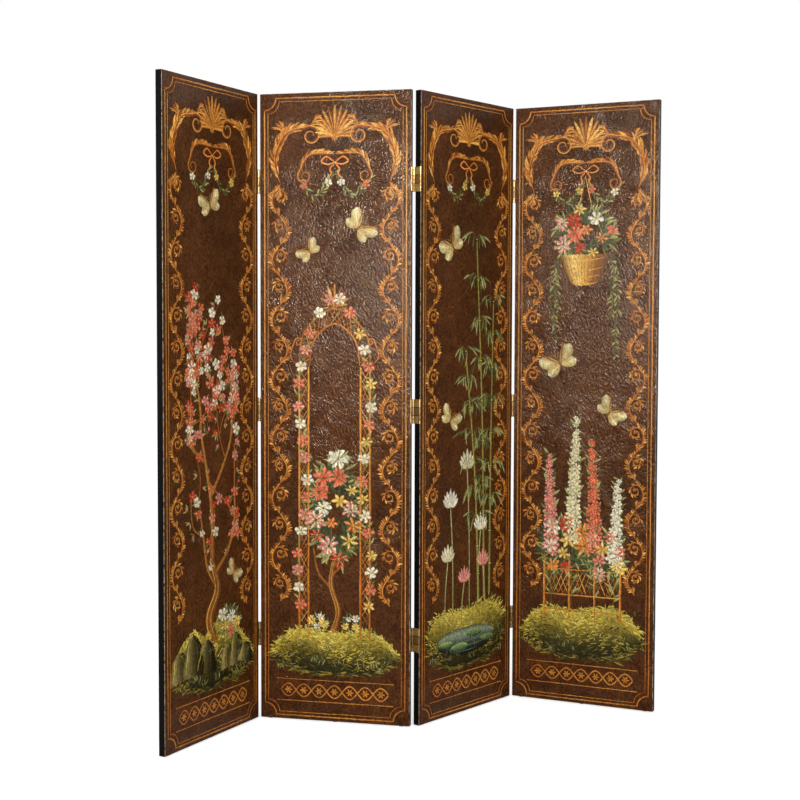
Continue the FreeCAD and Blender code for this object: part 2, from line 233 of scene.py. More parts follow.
class Effects:
    """Shader node groups that several finishes share. Each is built once."""

    crease_scale = 112.0
    pore_scale = 330.0

    def __init__(self) -> None:
        self.crinkle = self._crinkle()
        self.hide = self._hide()
        self.rub = self._rub()
        self.patches = self._patches()

    @staticmethod
    def _start(
        name: str, takes: dict[str, str], gives: dict[str, str]
    ) -> tuple[Graph, dict, bpy.types.Node]:
        """Begin a group.

        Args:
            name: Name of the group.
            takes: Name to kind of each input socket.
            gives: Name to kind of each output socket.

        Returns:
            The graph, the input sockets by name, and the group's output node.
        """
        tree = bpy.data.node_groups.new(name, "ShaderNodeTree")
        for way, sockets in (("INPUT", takes), ("OUTPUT", gives)):
            for label, kind in sockets.items():
                tree.interface.new_socket(name=label, in_out=way, socket_type="NodeSocket" + kind)
        graph = Graph(tree)
        return graph, graph.add("NodeGroupInput").outputs, graph.add("NodeGroupOutput")

    def _crinkle(self) -> bpy.types.NodeTree:
        """Relief of crushed leather: short soft creases that slant one way, then another."""
        g, takes, end = self._start("crinkled_leather", {"Vector": "Vector"}, {"Height": "Float"})
        place = takes["Vector"]
        drift = g.vector("SUBTRACT", g.noise(place, 9.0, 2.0, output="Color"), (0.5, 0.5, 0.5))
        warped = g.vector("ADD", place, g.vector("MULTIPLY", drift, (0.06, 0.06, 0.06)))
        slanted = g.add("VectorRotate", {"Vector": warped, "Angle": 0.5},
                        rotation_type="Y_AXIS").outputs[0]
        lying = g.streaks(slanted, (1.0, 1.0, 1.9), self.crease_scale, 2.0)
        standing = g.streaks(slanted, (2.0, 1.0, 1.0), self.crease_scale, 2.0)
        creases = g.blend(g.remap(g.noise(place, 2.3, 1.0), 0.4, 0.5), lying, standing)
        pores = g.add("TexVoronoi", {"Vector": warped, "Scale": self.pore_scale},
                      feature="SMOOTH_F1")
        fine = g.sum("MULTIPLY", pores.outputs["Distance"], 0.12)
        g.link(g.sum("ADD", creases, fine), end.inputs["Height"])
        return g.tree

    def _hide(self) -> bpy.types.NodeTree:
        """Colour of the stained hide and how dull its varnish is."""
        g, takes, end = self._start(
            "stained_hide", {"Vector": "Vector"}, {"Color": "Color", "Roughness": "Float"}
        )
        place = takes["Vector"]
        cloud = g.noise(place, 2.6, 4.0, 0.6)
        mottle = g.noise(place, 24.0, 4.0, 0.65)
        fleck = g.noise(place, 260.0, 2.0)
        stain = g.mix(g.remap(cloud, 0.3, 0.7), ink("3e220f"), ink("573016"))
        stain = g.mix(g.remap(mottle, 0.42, 0.72, 0.0, 0.35), stain, ink("744a22"))
        stain = g.mix(g.remap(fleck, 0.55, 0.75, 0.0, 0.5), stain, ink("271006"))
        g.link(stain, end.inputs["Color"])
        g.link(g.remap(mottle, 0.3, 0.75, 0.11, 0.17), end.inputs["Roughness"])
        return g.tree

    def _rub(self) -> bpy.types.NodeTree:
        """Where a box-shaped panel's edges are rubbed. The vector starts at its corner."""
        g, takes, end = self._start(
            "rubbed_edges", {"Vector": "Vector", "Size": "Vector", "Reach": "Float"},
            {"Mask": "Float"}
        )
        place = takes["Vector"]
        half = g.vector("MULTIPLY", takes["Size"], (0.5, 0.5, 0.5))
        off = g.vector("ABSOLUTE", g.vector("SUBTRACT", place, half))
        inward = g.vector("ABSOLUTE", g.vector("SUBTRACT", half, off))
        x, y, z = g.add("SeparateXYZ", {0: inward}).outputs
        pairs = [g.sum("ADD", x, y), g.sum("ADD", y, z), g.sum("ADD", x, z)]
        nearest = g.sum("MINIMUM", g.sum("MINIMUM", pairs[0], pairs[1]), pairs[2])
        uneven = g.remap(g.noise(place, 55.0, 4.0, 0.7), 0.3, 0.75, 0.2, 1.6)
        reach = g.sum("MULTIPLY", takes["Reach"], uneven)
        g.link(g.remap(nearest, reach, g.sum("MULTIPLY", reach, 0.35)), end.inputs["Mask"])
        return g.tree

    def _patches(self) -> bpy.types.NodeTree:
        """Irregular patches, such as tarnish, dust and scuffs."""
        g, takes, end = self._start(
            "patches", {"Vector": "Vector", "Scale": "Float", "Amount": "Float"}, {"Mask": "Float"}
        )
        cloud = g.noise(takes["Vector"], takes["Scale"], 5.0, 0.65)
        low = g.sum("SUBTRACT", 0.78, g.sum("MULTIPLY", takes["Amount"], 0.4))
        g.link(g.remap(cloud, low, g.sum("ADD", low, 0.16)), end.inputs["Mask"])
        return g.tree


# ---------------------------------------------------------------- finishes


@dataclass(frozen=True)
class Finish:
    """What every finish shares: a material made of one Principled shader."""

    effects: Effects

    def material(
        self, name: str, **sockets: object
    ) -> tuple[bpy.types.Material, Graph, bpy.types.Node]:
        """Start a material.

        Args:
            name: Name of the material.
            sockets: Plain values for the shader's sockets, with _ for each space.

        Returns:
            The material, its graph and its Principled shader.
        """
        made = bpy.data.materials.new(name)
        made.use_nodes = True
        graph = Graph(made.node_tree)
        shader = made.node_tree.nodes["Principled BSDF"]
        for label, value in sockets.items():
            shader.inputs[label.replace("_", " ")].default_value = value
        return made, graph, shader

    @staticmethod
    def panel_place(graph: Graph, place: PanelPlace) -> object:
        """Coordinates on a panel: along, back and up from its lower left painted corner."""
        turned = Matrix.Rotation(-place.turn, 3, "Z") @ -place.origin
        where = graph.add("TexCoord").outputs["Object"]
        inputs = {"Vector": where, "Location": tuple(turned), "Rotation": (0.0, 0.0, -place.turn)}
        return graph.add("Mapping", inputs).outputs[0]


@dataclass(frozen=True)
class Leather(Finish):
    """Varnished crushed leather, pale where its edges are rubbed and where a painted highlight runs
    along them, with painted shade in its creases and a painted highlight on its crests.
    """

    crease_depth: float = 0.0027
    # Brightness of the colour in the creases (painted shade) and on the crests (painted highlight).
    crease_shade: float = 0.56
    crest_highlight: float = 1.36
    rub_reach: float = 0.0016

    def make(self, place: PanelPlace) -> bpy.types.Material:
        """Material for one panel's leather."""
        made, g, shader = self.material(
            f"leather_{place.index}", Specular_IOR_Level=0.12, Specular_Tint=VARNISH
        )
        where = self.panel_place(g, place)
        hide = g.group(self.effects.hide, Vector=where)
        size = (place.width, 2 * place.thickness, place.height)
        rub = g.group(self.effects.rub, Vector=where, Size=size, Reach=self.rub_reach)[0]
        crinkle = g.group(self.effects.crinkle, Vector=where)[0]
        # Painted shade: the colour is darker in the creases and, as a painted highlight, lighter on
        # the crests.
        grain = g.remap(crinkle, CREASE, CREST, self.crease_shade, self.crest_highlight)
        # The pale colour along the edges is partly rubbed wear and partly a painted highlight where
        # the rounded edge catches the light.
        colour = g.mix(rub, g.shade(hide["Color"], grain), ink("b0a28a"))
        g.finish(shader, colour, hide["Roughness"], crinkle, self.crease_depth, 0.8)
        return made


@dataclass(frozen=True)
class Paintwork(Finish):
    """Paint on the leather: each stroke's own colour, thin in places, over the same creases, with
    the same painted shade in them and a painted highlight on their crests.
    """

    crease_depth: float = 0.0017
    # Brightness of the colour in the creases (painted shade) and on the crests (painted highlight).
    crease_shade: float = 0.72
    crest_highlight: float = 1.24

    def make(self, place: PanelPlace) -> bpy.types.Material:
        """Material for one panel's painted pieces."""
        made, g, shader = self.material(
            f"paintwork_{place.index}", Specular_IOR_Level=0.12, Specular_Tint=VARNISH
        )
        where = self.panel_place(g, place)
        hide = g.group(self.effects.hide, Vector=where)["Color"]
        tint = g.add("Attribute", attribute_name="tint").outputs
        way = g.add("Attribute", attribute_name="stroke_way").outputs["Vector"]
        hairs = g.streaks(way, (0.09, 1.1, 1.0), rough=0.6)
        daubs = g.noise(where, 130.0)
        bright = g.sum("ADD", g.remap(hairs, 0.25, 0.75, 0.72, 1.22),
                       g.remap(daubs, 0.3, 0.7, -0.12, 0.12))
        crinkle = g.group(self.effects.crinkle, Vector=where)[0]
        # Painted shade in the creases and a painted highlight on the crests, in the paint and in
        # the leather under it.
        grain = g.remap(crinkle, CREASE, CREST, self.crease_shade, self.crest_highlight)
        paint = g.shade(tint["Color"], g.sum("MULTIPLY", bright, grain))
        worn = g.sum("ADD", g.sum("MULTIPLY", hairs, 0.5), g.sum("MULTIPLY", daubs, 0.5))
        cover = g.remap(g.sum("ADD", tint["Alpha"], worn), 0.92, 1.12)
        colour = g.mix(cover, g.shade(hide, grain), paint)
        height = g.sum("ADD", g.sum("MULTIPLY", crinkle, 0.8), g.sum("MULTIPLY", hairs, 0.2))
        rough = g.remap(hairs, 0.2, 0.8, 0.24, 0.4)
        g.finish(shader, colour, rough, height, self.crease_depth, 0.7)
        return made


@dataclass(frozen=True)
class BlackPaint(Finish):
    """Black paint on the frame, rubbed grey along the arrises, with brown wood in the chips."""

    rub_reach: float = 0.0014

    def make(self, place: PanelPlace) -> bpy.types.Material:
        """Material for one panel's frame."""
        made, g, shader = self.material(f"black_paint_{place.index}", Specular_IOR_Level=0.06)
        where = self.panel_place(g, place)
        size = (place.width, place.thickness, place.height)
        rub = g.group(self.effects.rub, Vector=where, Size=size, Reach=self.rub_reach)[0]
        scuff = g.group(self.effects.patches, Vector=where, Scale=38.0, Amount=0.35)[0]
        chips = g.group(self.effects.patches, Vector=where, Scale=90.0, Amount=0.5)[0]
        brushed = g.streaks(where, (260.0, 260.0, 9.0))
        black = g.mix(brushed, ink("080706"), ink("14100e"))
        black = g.mix(g.sum("MULTIPLY", scuff, 0.3), black, ink("2c2824"))
        worn = g.mix(chips, ink("4a443c"), ink("6e5638"))
        rough = g.remap(brushed, 0.2, 0.8, 0.34, 0.5)
        g.finish(shader, g.mix(rub, black, worn), rough, brushed, 0.0002, 0.5)
        return made


@dataclass(frozen=True)
class BackPaint(Finish):
    """Plain dark paint on the back boards, brushed on by hand and dusty low down."""

    dust_top: float = 0.25
    dust_full: float = 0.04

    def make(self, place: PanelPlace) -> bpy.types.Material:
        """Material for one panel's back board."""
        made, g, shader = self.material(f"back_paint_{place.index}", Specular_IOR_Level=0.2)
        where = self.panel_place(g, place)
        brushed = g.streaks(where, (160.0, 160.0, 5.0), detail=4.0, rough=0.6)
        cloud = g.noise(where, 3.0, 4.0)
        dark = g.mix(g.remap(cloud, 0.3, 0.7), ink("1c1512"), ink("2b201a"))
        dark = g.mix(g.sum("MULTIPLY", brushed, 0.5), dark, ink("33271f"))
        scuff = g.group(self.effects.patches, Vector=where, Scale=14.0, Amount=0.3)[0]
        dark = g.mix(g.sum("MULTIPLY", scuff, 0.35), dark, ink("5a4c3f"))
        up = g.add("SeparateXYZ", {0: where}).outputs[2]
        dusty = g.sum("MULTIPLY", g.remap(up, self.dust_top, self.dust_full), cloud)
        rough = g.remap(brushed, 0.2, 0.8, 0.42, 0.62)
        g.finish(shader, g.mix(dusty, dark, ink("6f665a")), rough, brushed, 0.0004, 0.6)
        return made


@dataclass(frozen=True)
class BareWood(Finish):
    """Softwood with an open grain, for the pieces hidden inside a panel."""

    def make(self, place: PanelPlace) -> bpy.types.Material:
        """Material for one panel's inner pieces."""
        made, g, shader = self.material(f"bare_wood_{place.index}", Roughness=0.7)
        where = self.panel_place(g, place)
        grain = g.streaks(where, (90.0, 90.0, 4.0), detail=5.0, rough=0.6)
        colour = g.mix(g.remap(grain, 0.3, 0.7), ink("8f6a42"), ink("b99266"))
        g.finish(shader, colour, height=grain, depth=0.0003, strength=0.5)
        return made


class BrassPart(Enum):
    """Brass pieces, with their bright colour, tarnish and share of tarnish."""

    LEAF = ("a88c5e", "4e3a1c", 0.85)
    LINK = ("ae9462", "5a4322", 0.7)
    SCREW = ("c4ab74", "5e4a26", 0.6)


@dataclass(frozen=True)
class Brass(Finish):
    """Worn brass: bright where hands and leaves rub it, brown where it has tarnished, with painted
    shade in the gaps between its knuckles.
    """

    lowest_hinge: float = 0.252
    hinge_step: float = 0.6625
    knuckle_half: float = 0.0117
    knuckle_edge: float = 0.0006

    def make(self, part: BrassPart) -> bpy.types.Material:
        """Material for one kind of brass piece."""
        bright, dull, amount = part.value
        made, g, shader = self.material(f"brass_{part.name.lower()}", Metallic=1.0)
        where = g.add("TexCoord").outputs["Object"]
        tarnish = g.group(self.effects.patches, Vector=where, Scale=190.0, Amount=amount)[0]
        drawn = g.streaks(where, (700.0, 700.0, 60.0))
        colour = g.mix(tarnish, ink(bright), ink(dull))
        colour = g.mix(g.remap(drawn, 0.5, 0.8, 0.0, 0.35), colour, ink("8d7446"))
        up = g.sum("SUBTRACT", g.add("SeparateXYZ", {0: where}).outputs[2], self.lowest_hinge)
        reach = {0: up, 1: self.hinge_step / 2, 2: -self.hinge_step / 2}
        off = g.sum("ABSOLUTE", g.add("Math", reach, operation="WRAP").outputs[0])
        middle = g.remap(off, self.knuckle_half, self.knuckle_half - self.knuckle_edge, 0.0, 0.55)
        colour = g.mix(middle, colour, ink("6c4e28"))
        # Painted shade: dark lines at the gaps between the knuckles of each hinge.
        seam = g.remap(g.sum("ABSOLUTE", g.sum("SUBTRACT", off, self.knuckle_half)), 0.0013, 0.0005)
        colour = g.mix(seam, colour, ink("2c2010"))
        g.finish(shader, colour, g.blend(tarnish, 0.38, 0.6), drawn, 0.00006, 0.6)
        return made


@dataclass(frozen=True)
class Nylon(Finish):
    """Pale scuffed nylon of the glides."""

    def make(self) -> bpy.types.Material:
        """The glides' material."""
        made, g, shader = self.material("nylon", Specular_IOR_Level=0.4)
        where = g.add("TexCoord").outputs["Object"]
        dirt = g.group(self.effects.patches, Vector=where, Scale=240.0, Amount=0.6)[0]
        g.finish(shader, g.mix(dirt, ink("cfc6b4"), ink("8d8271")), g.blend(dirt, 0.45, 0.7))
        return made


# ---------------------------------------------------------------- brush strokes


@dataclass(frozen=True)
class Tone:
    """Colours of a stroke from its right rim to its left one, where it starts and where it ends."""

    start: tuple[Colour, ...]
    end: tuple[Colour, ...]
    cover: float = 1.0

    @classmethod
    def brushed(cls, rim: str, root: str, tip: str, cover: float = 1.0) -> "Tone":
        """Tone with a darker rim and a body that changes from root to tip."""
        return cls((ink(rim), ink(root), ink(rim)), (ink(rim), ink(tip), ink(rim)), cover)

    @classmethod
    def round(cls, *codes: str, cover: float = 1.0) -> "Tone":
        """Tone that shades a rounded form from its right side to its left side."""
        inks = tuple(ink(code) for code in codes)
        return cls(inks, inks, cover)

    def at(self, along: np.ndarray, across: np.ndarray) -> np.ndarray:
        """Colours at places from 0 to 1 along a stroke and from -1 to 1 across it."""
        ends = []
        for colours in (self.start, self.end):
            stops = np.linspace(-1, 1, len(colours))
            table = np.array(colours)
            ends.append(np.stack([np.interp(across, stops, table[:, c]) for c in range(3)], -1))
        return ends[0] + (ends[1] - ends[0]) * along[:, None]


class Pen(Enum):
    """Blanks that strokes are bent from: rows along, columns across."""

    DAB = (5, 4)
    LEAF = (8, 4)
    LINE = (26, 4)
    SCROLL = (64, 4)
    FORM = (26, 12)


@dataclass
class StrokeBlank:
    """A straight stroke of paint: rims on the leather, body raised, one unit long and two wide."""

    pen: Pen
    rim_share: float = 0.88
    places: np.ndarray = field(init=False)
    quads: np.ndarray = field(init=False)

    def __post_init__(self) -> None:
        """Model the blank once and keep its mesh."""
        rows, columns = self.pen.value
        select_only()
        bpy.ops.mesh.primitive_grid_add(x_subdivisions=columns, y_subdivisions=rows, size=2)
        blank = bpy.context.object
        bpy.ops.object.mode_set(mode="EDIT")
        step = 2 / columns
        self._pick(blank,
                   lambda co: abs(abs(co.x) - (1 - step)) < step / 4 and abs(co.y) < 1 - 1 / rows)
        bpy.ops.transform.resize(value=(self.rim_share / (1 - step), 1, 1))
        self._pick(blank, lambda co: abs(co.x) < 1 - step / 4 and abs(co.y) < 1 - 1 / rows)
        bpy.ops.transform.translate(value=(0, 0, 1))
        self._pick(blank, lambda co: abs(co.x) < step / 4 and abs(co.y) < 1 - 1 / rows)
        bpy.ops.transform.translate(value=(0, 0, 0.3))
        bpy.ops.object.mode_set(mode="OBJECT")
        mesh = blank.data
        self.places = np.array([vertex.co[:] for vertex in mesh.vertices])
        self.quads = np.array([face.vertices[:] for face in mesh.polygons])
        bpy.data.objects.remove(blank)
        bpy.data.meshes.remove(mesh)

    @staticmethod
    def _pick(blank: bpy.types.Object, test: Callable[[Vector], bool]) -> None:
        """Select the vertices that pass a test."""
        form = bmesh.from_edit_mesh(blank.data)
        for vertex in form.verts:
            vertex.select = test(vertex.co)
        form.select_flush(True)
        bmesh.update_edit_mesh(blank.data)


def smooth(points: Line, count: int = SMOOTH_POINTS) -> np.ndarray:
    """Evenly divided smooth line through a few points."""
    knots = np.array(points, float)
    knots = np.vstack([2 * knots[0] - knots[1], knots, 2 * knots[-1] - knots[-2]])
    made = []
    for a, b, c, d in zip(knots[:-3], knots[1:-2], knots[2:-1], knots[3:]):
        s = np.linspace(0, 1, 16, endpoint=False)[:, None]
        made.append(0.5 * (2 * b + (c - a) * s + (2 * a - 5 * b + 4 * c - d) * s ** 2
                           + (3 * b - a - 3 * c + d) * s ** 3))
    return even(np.vstack([*made, knots[-2:-1]]), count)


def even(points: np.ndarray, count: int) -> np.ndarray:
    """The same line with points at equal distances."""
    run = np.r_[0, np.cumsum(np.hypot(*np.diff(points, axis=0).T))]
    marks = np.linspace(0, run[-1], count)
    return np.stack([np.interp(marks, run, points[:, axis]) for axis in (0, 1)], -1)


def heading_of(line: np.ndarray, place: float) -> float:
    """Direction of a line in radians at a share of its length."""
    index = min(int(place * (len(line) - 1)), len(line) - 2)
    step = line[index + 1] - line[index]
    return math.atan2(step[1], step[0])


def at(line: np.ndarray, place: float) -> np.ndarray:
    """Point at a share of a line's length."""
    return line[min(int(round(place * (len(line) - 1))), len(line) - 1)]


def toward(angle: float) -> np.ndarray:
    """Point one unit away from the origin in a direction given in radians."""
    return np.array([math.cos(angle), math.sin(angle)])


def volute(line: np.ndarray, radius: float, way: int, turns: float = 1.3) -> np.ndarray:
    """The line with a curl wound on at its end.

    Args:
        line: Points of the line.
        radius: Outer radius of the curl.
        way: 1 to wind to the left, -1 to the right.
        turns: Turns of the curl.

    Returns:
        Points of the line and its curl.
    """
    heading = heading_of(line, 1.0)
    centre = line[-1] + radius * toward(heading + way * QUARTER)
    wound = np.linspace(0.05, 1, 40)
    angle = heading - way * QUARTER + way * wound * turns * TURN
    reach = radius * (1 - 0.74 * wound)
    curl = centre + reach[:, None] * np.stack([np.cos(angle), np.sin(angle)], -1)
    return np.vstack([line, curl])


def beside(line: np.ndarray, distance: float | np.ndarray) -> np.ndarray:
    """The line moved to its left by one distance, or by one for each of its points."""
    slope = np.gradient(line, axis=0)
    slope /= np.maximum(np.hypot(*slope.T), 1e-9)[:, None]
    return line + np.stack([-slope[:, 1], slope[:, 0]], -1) * np.reshape(distance, (-1, 1))


def swell(count: int, half: float, start: float = 0.25, peak: float = 0.4,
          end: float = 0.12) -> np.ndarray:
    """Half widths along a stroke that swells to its peak and thins to its end."""
    s = np.linspace(0, 1, count)
    rising = start + (1 - start) * np.sin(np.pi / 2 * np.clip(s / peak, 0, 1))
    falling = end + (1 - end) * np.cos(np.pi / 2 * np.clip((s - peak) / (1 - peak), 0, 1))
    return half * np.where(s < peak, rising, falling)


class Brushwork:
    """Strokes of one kind on the flat of a panel, in millimetres."""

    sink = -0.05
    lift_spread = 0.04
    lift_step = 0.618
    tone_spread = 0.2
    rim_thinning = 0.35
    way_step = 7.3
    blanks: dict[Pen, StrokeBlank] = {}

    def __init__(self, name: str, middle: float, seed: int) -> None:
        self.name = name
        self.middle = middle
        self.mirrored = False
        self.rng = np.random.default_rng(seed)
        self.places: list[np.ndarray] = []
        self.quads: list[np.ndarray] = []
        self.tints: list[np.ndarray] = []
        self.ways: list[np.ndarray] = []
        self.size = 0

    def stroke(self, line: np.ndarray, halves: np.ndarray, tone: Tone, lift: float = 0.25,
               pen: Pen = Pen.LINE) -> None:
        """Bend a blank along a line.

        Args:
            line: Points of the stroke's middle.
            halves: Half widths, evenly spaced along the stroke.
            tone: Its colours.
            lift: Height of the paint above the leather.
            pen: Blank to bend.
        """
        if pen not in self.blanks:
            Brushwork.blanks[pen] = StrokeBlank(pen)
        blank = self.blanks[pen]
        if self.mirrored:
            line = np.stack([2 * self.middle - line[:, 0], line[:, 1]], -1)
        share, across, raised = (blank.places[:, 1] + 1) / 2, blank.places[:, 0], blank.places[:, 2]
        run = np.r_[0, np.cumsum(np.hypot(*np.diff(line, axis=0).T))]
        marks = share * run[-1]
        spot = np.stack([np.interp(marks, run, line[:, axis]) for axis in (0, 1)], -1)
        slope = np.gradient(line, axis=0)
        slope /= np.maximum(np.hypot(*slope.T), 1e-9)[:, None]
        way = np.stack([np.interp(marks, run, slope[:, axis]) for axis in (0, 1)], -1)
        width = np.interp(share, np.linspace(0, 1, len(halves)), halves)
        # The blank's x runs to the right of its y, so its left side is where x is negative.
        side = np.stack([way[:, 1], -way[:, 0]], -1)
        flat = spot + side * (width * across)[:, None]
        lift += self.lift_spread * (len(self.places) * self.lift_step % 1)
        height = self.sink + (lift - self.sink) * raised
        self.places.append(np.column_stack([flat, height]))
        self.quads.append(blank.quads + self.size)
        self.size += len(flat)
        colours = tone.at(share, -across) * (1 + self.jitter(self.tone_spread))
        thin = tone.cover - self.rim_thinning * np.abs(across) ** 4
        self.tints.append(np.column_stack([colours, np.clip(thin, 0, 1)]))
        number = np.full(len(flat), self.way_step * len(self.ways))
        self.ways.append(np.column_stack([marks, width * across, number]))

    def leaf(self, base: np.ndarray, heading: float, length: float, half: float, tone: Tone,
             bend: float = 0.0, lift: float = 0.3, peak: float = 0.42, end: float = 0.08,
             pen: Pen = Pen.LEAF) -> None:
        """Leaf or petal from its base.

        Args:
            base: Where it starts.
            heading: Its direction in radians.
            length: Its length.
            half: Half its width.
            tone: Its colours.
            bend: How far it turns from base to tip, in radians.
            lift: Height of the paint.
            peak: Share of the length where it is widest.
            end: Share of the width left at the tip.
            pen: Blank to bend.
        """
        steps = 9
        angles = heading + bend * np.linspace(0, 1, steps)
        hops = np.stack([np.cos(angles), np.sin(angles)], -1) * (length / steps)
        line = np.vstack([base, base + np.cumsum(hops, axis=0)])
        self.stroke(line, swell(12, half, 0.2, peak, end), tone, lift, pen)

    def rosette(self, centre: Sequence[float], step: float, length: float, half: float, tone: Tone,
                lift: float, bend: float = 0.0, turn: float = 0.0) -> None:
        """Ring of short dabs about a point, one at every step of the angle."""
        for angle in np.arange(0, TURN, step):
            self.leaf(np.array(centre), angle + turn, length, half, tone, bend, lift, pen=Pen.DAB)

    def jitter(self, spread: float) -> float:
        """A small random departure either way."""
        return float(self.rng.uniform(-spread, spread))

    def mesh(self) -> bpy.types.Object:
        """The sheet of strokes as one object, flat in X and Y, in millimetres."""
        mesh = bpy.data.meshes.new(self.name)
        mesh.from_pydata(np.vstack(self.places).tolist(), [], np.vstack(self.quads).tolist())
        tint = mesh.attributes.new("tint", "FLOAT_COLOR", "POINT")
        tint.data.foreach_set("color", np.vstack(self.tints).ravel())
        way = mesh.attributes.new("stroke_way", "FLOAT_VECTOR", "POINT")
        way.data.foreach_set("vector", np.vstack(self.ways).ravel())
        mesh.shade_smooth()
        sheet = bpy.data.objects.new(self.name, mesh)
        bpy.context.collection.objects.link(sheet)
        return sheet


# ---------------------------------------------------------------- painted ornament


GILT = Tone.brushed("6e3010", "b6601c", "e29a40")
GILT_DARK = Tone.brushed("42190a", "823a12", "ae5e20")
GILT_LIGHT = Tone.brushed("bc7226", "eaa846", "f6ca74", cover=0.9)
HUSK = Tone.brushed("743412", "c47424", "e6a844")
OLIVE = Tone.brushed("2e2e18", "56562a", "8a8848")
OLIVE_LIGHT = Tone.brushed("555a2c", "8a8c4c", "c8c484")
MOSS = Tone.brushed("1c2418", "364028", "5e6a3e")
STEM = Tone.brushed("3d3a1c", "6a6432", "8a8044", cover=0.95)
CREAM = Tone.brushed("a89a6c", "dcd0a0", "f6edca")
WHITE = Tone.brushed("b8ab86", "e4d9b8", "fbf6e6")
WING = Tone.brushed("8e7c40", "d2bc7a", "f0e3ae")
CORAL = Tone.brushed("9c2c1c", "d2492c", "f5926c")
ROSE = Tone.brushed("9a3a34", "d2645a", "f6b09c")
RED = Tone.brushed("6c1810", "ac2818", "e2502c")
ORANGE = Tone.brushed("a4400f", "dc6c20", "f8ae54")
YELLOW = Tone.brushed("a87420", "e4b434", "fae284")
HEART = Tone.brushed("8a5a1c", "e8b440", "f6d870")
GLINT = Tone.brushed("e8c89c", "f8e6c0", "fffaf0", cover=0.9)
INSECT = Tone.brushed("2a180c", "5a3818", "a87838")
RIPPLE = Tone.brushed("4c6a58", "86a084", "bccab0")
TURF = Tone.round("1a190c", "302c12", "5e521c", "988230", "c0a840")
STONE = Tone.round("100d07", "1f1b10", "3c351e", "6e6032", "a4905a", "4c4426")
BAMBOO = Tone.round("2a2c12", "5c5c24", "a09a46", "d8cc7c", "6a6428")
BARK = Tone.round("2a160a", "5c3012", "a4642a", "d89c48", "5a3014")
LOTUS_LEAF = Tone.round("1c3424", "36583a", "6c8850", "a8b468")
WATER = Tone.round("0e120e", "1c241e", "364236", "5c6a58", "8c967c", "20281f")
WEAVE = Tone.round("4c280e", "905818", "d09a40", "f0c870", "7a4c1c")
GRASS = (Tone.brushed("1a180c", "2e2a14", "4a4420"), Tone.brushed("2c2a12", "504a20", "766e30"),
         Tone.brushed("564e18", "8c782a", "b8a43e"), Tone.brushed("8a7422", "c6aa3a", "e6d05c"),
         Tone.brushed("a89438", "dcc850", "f4e680"))


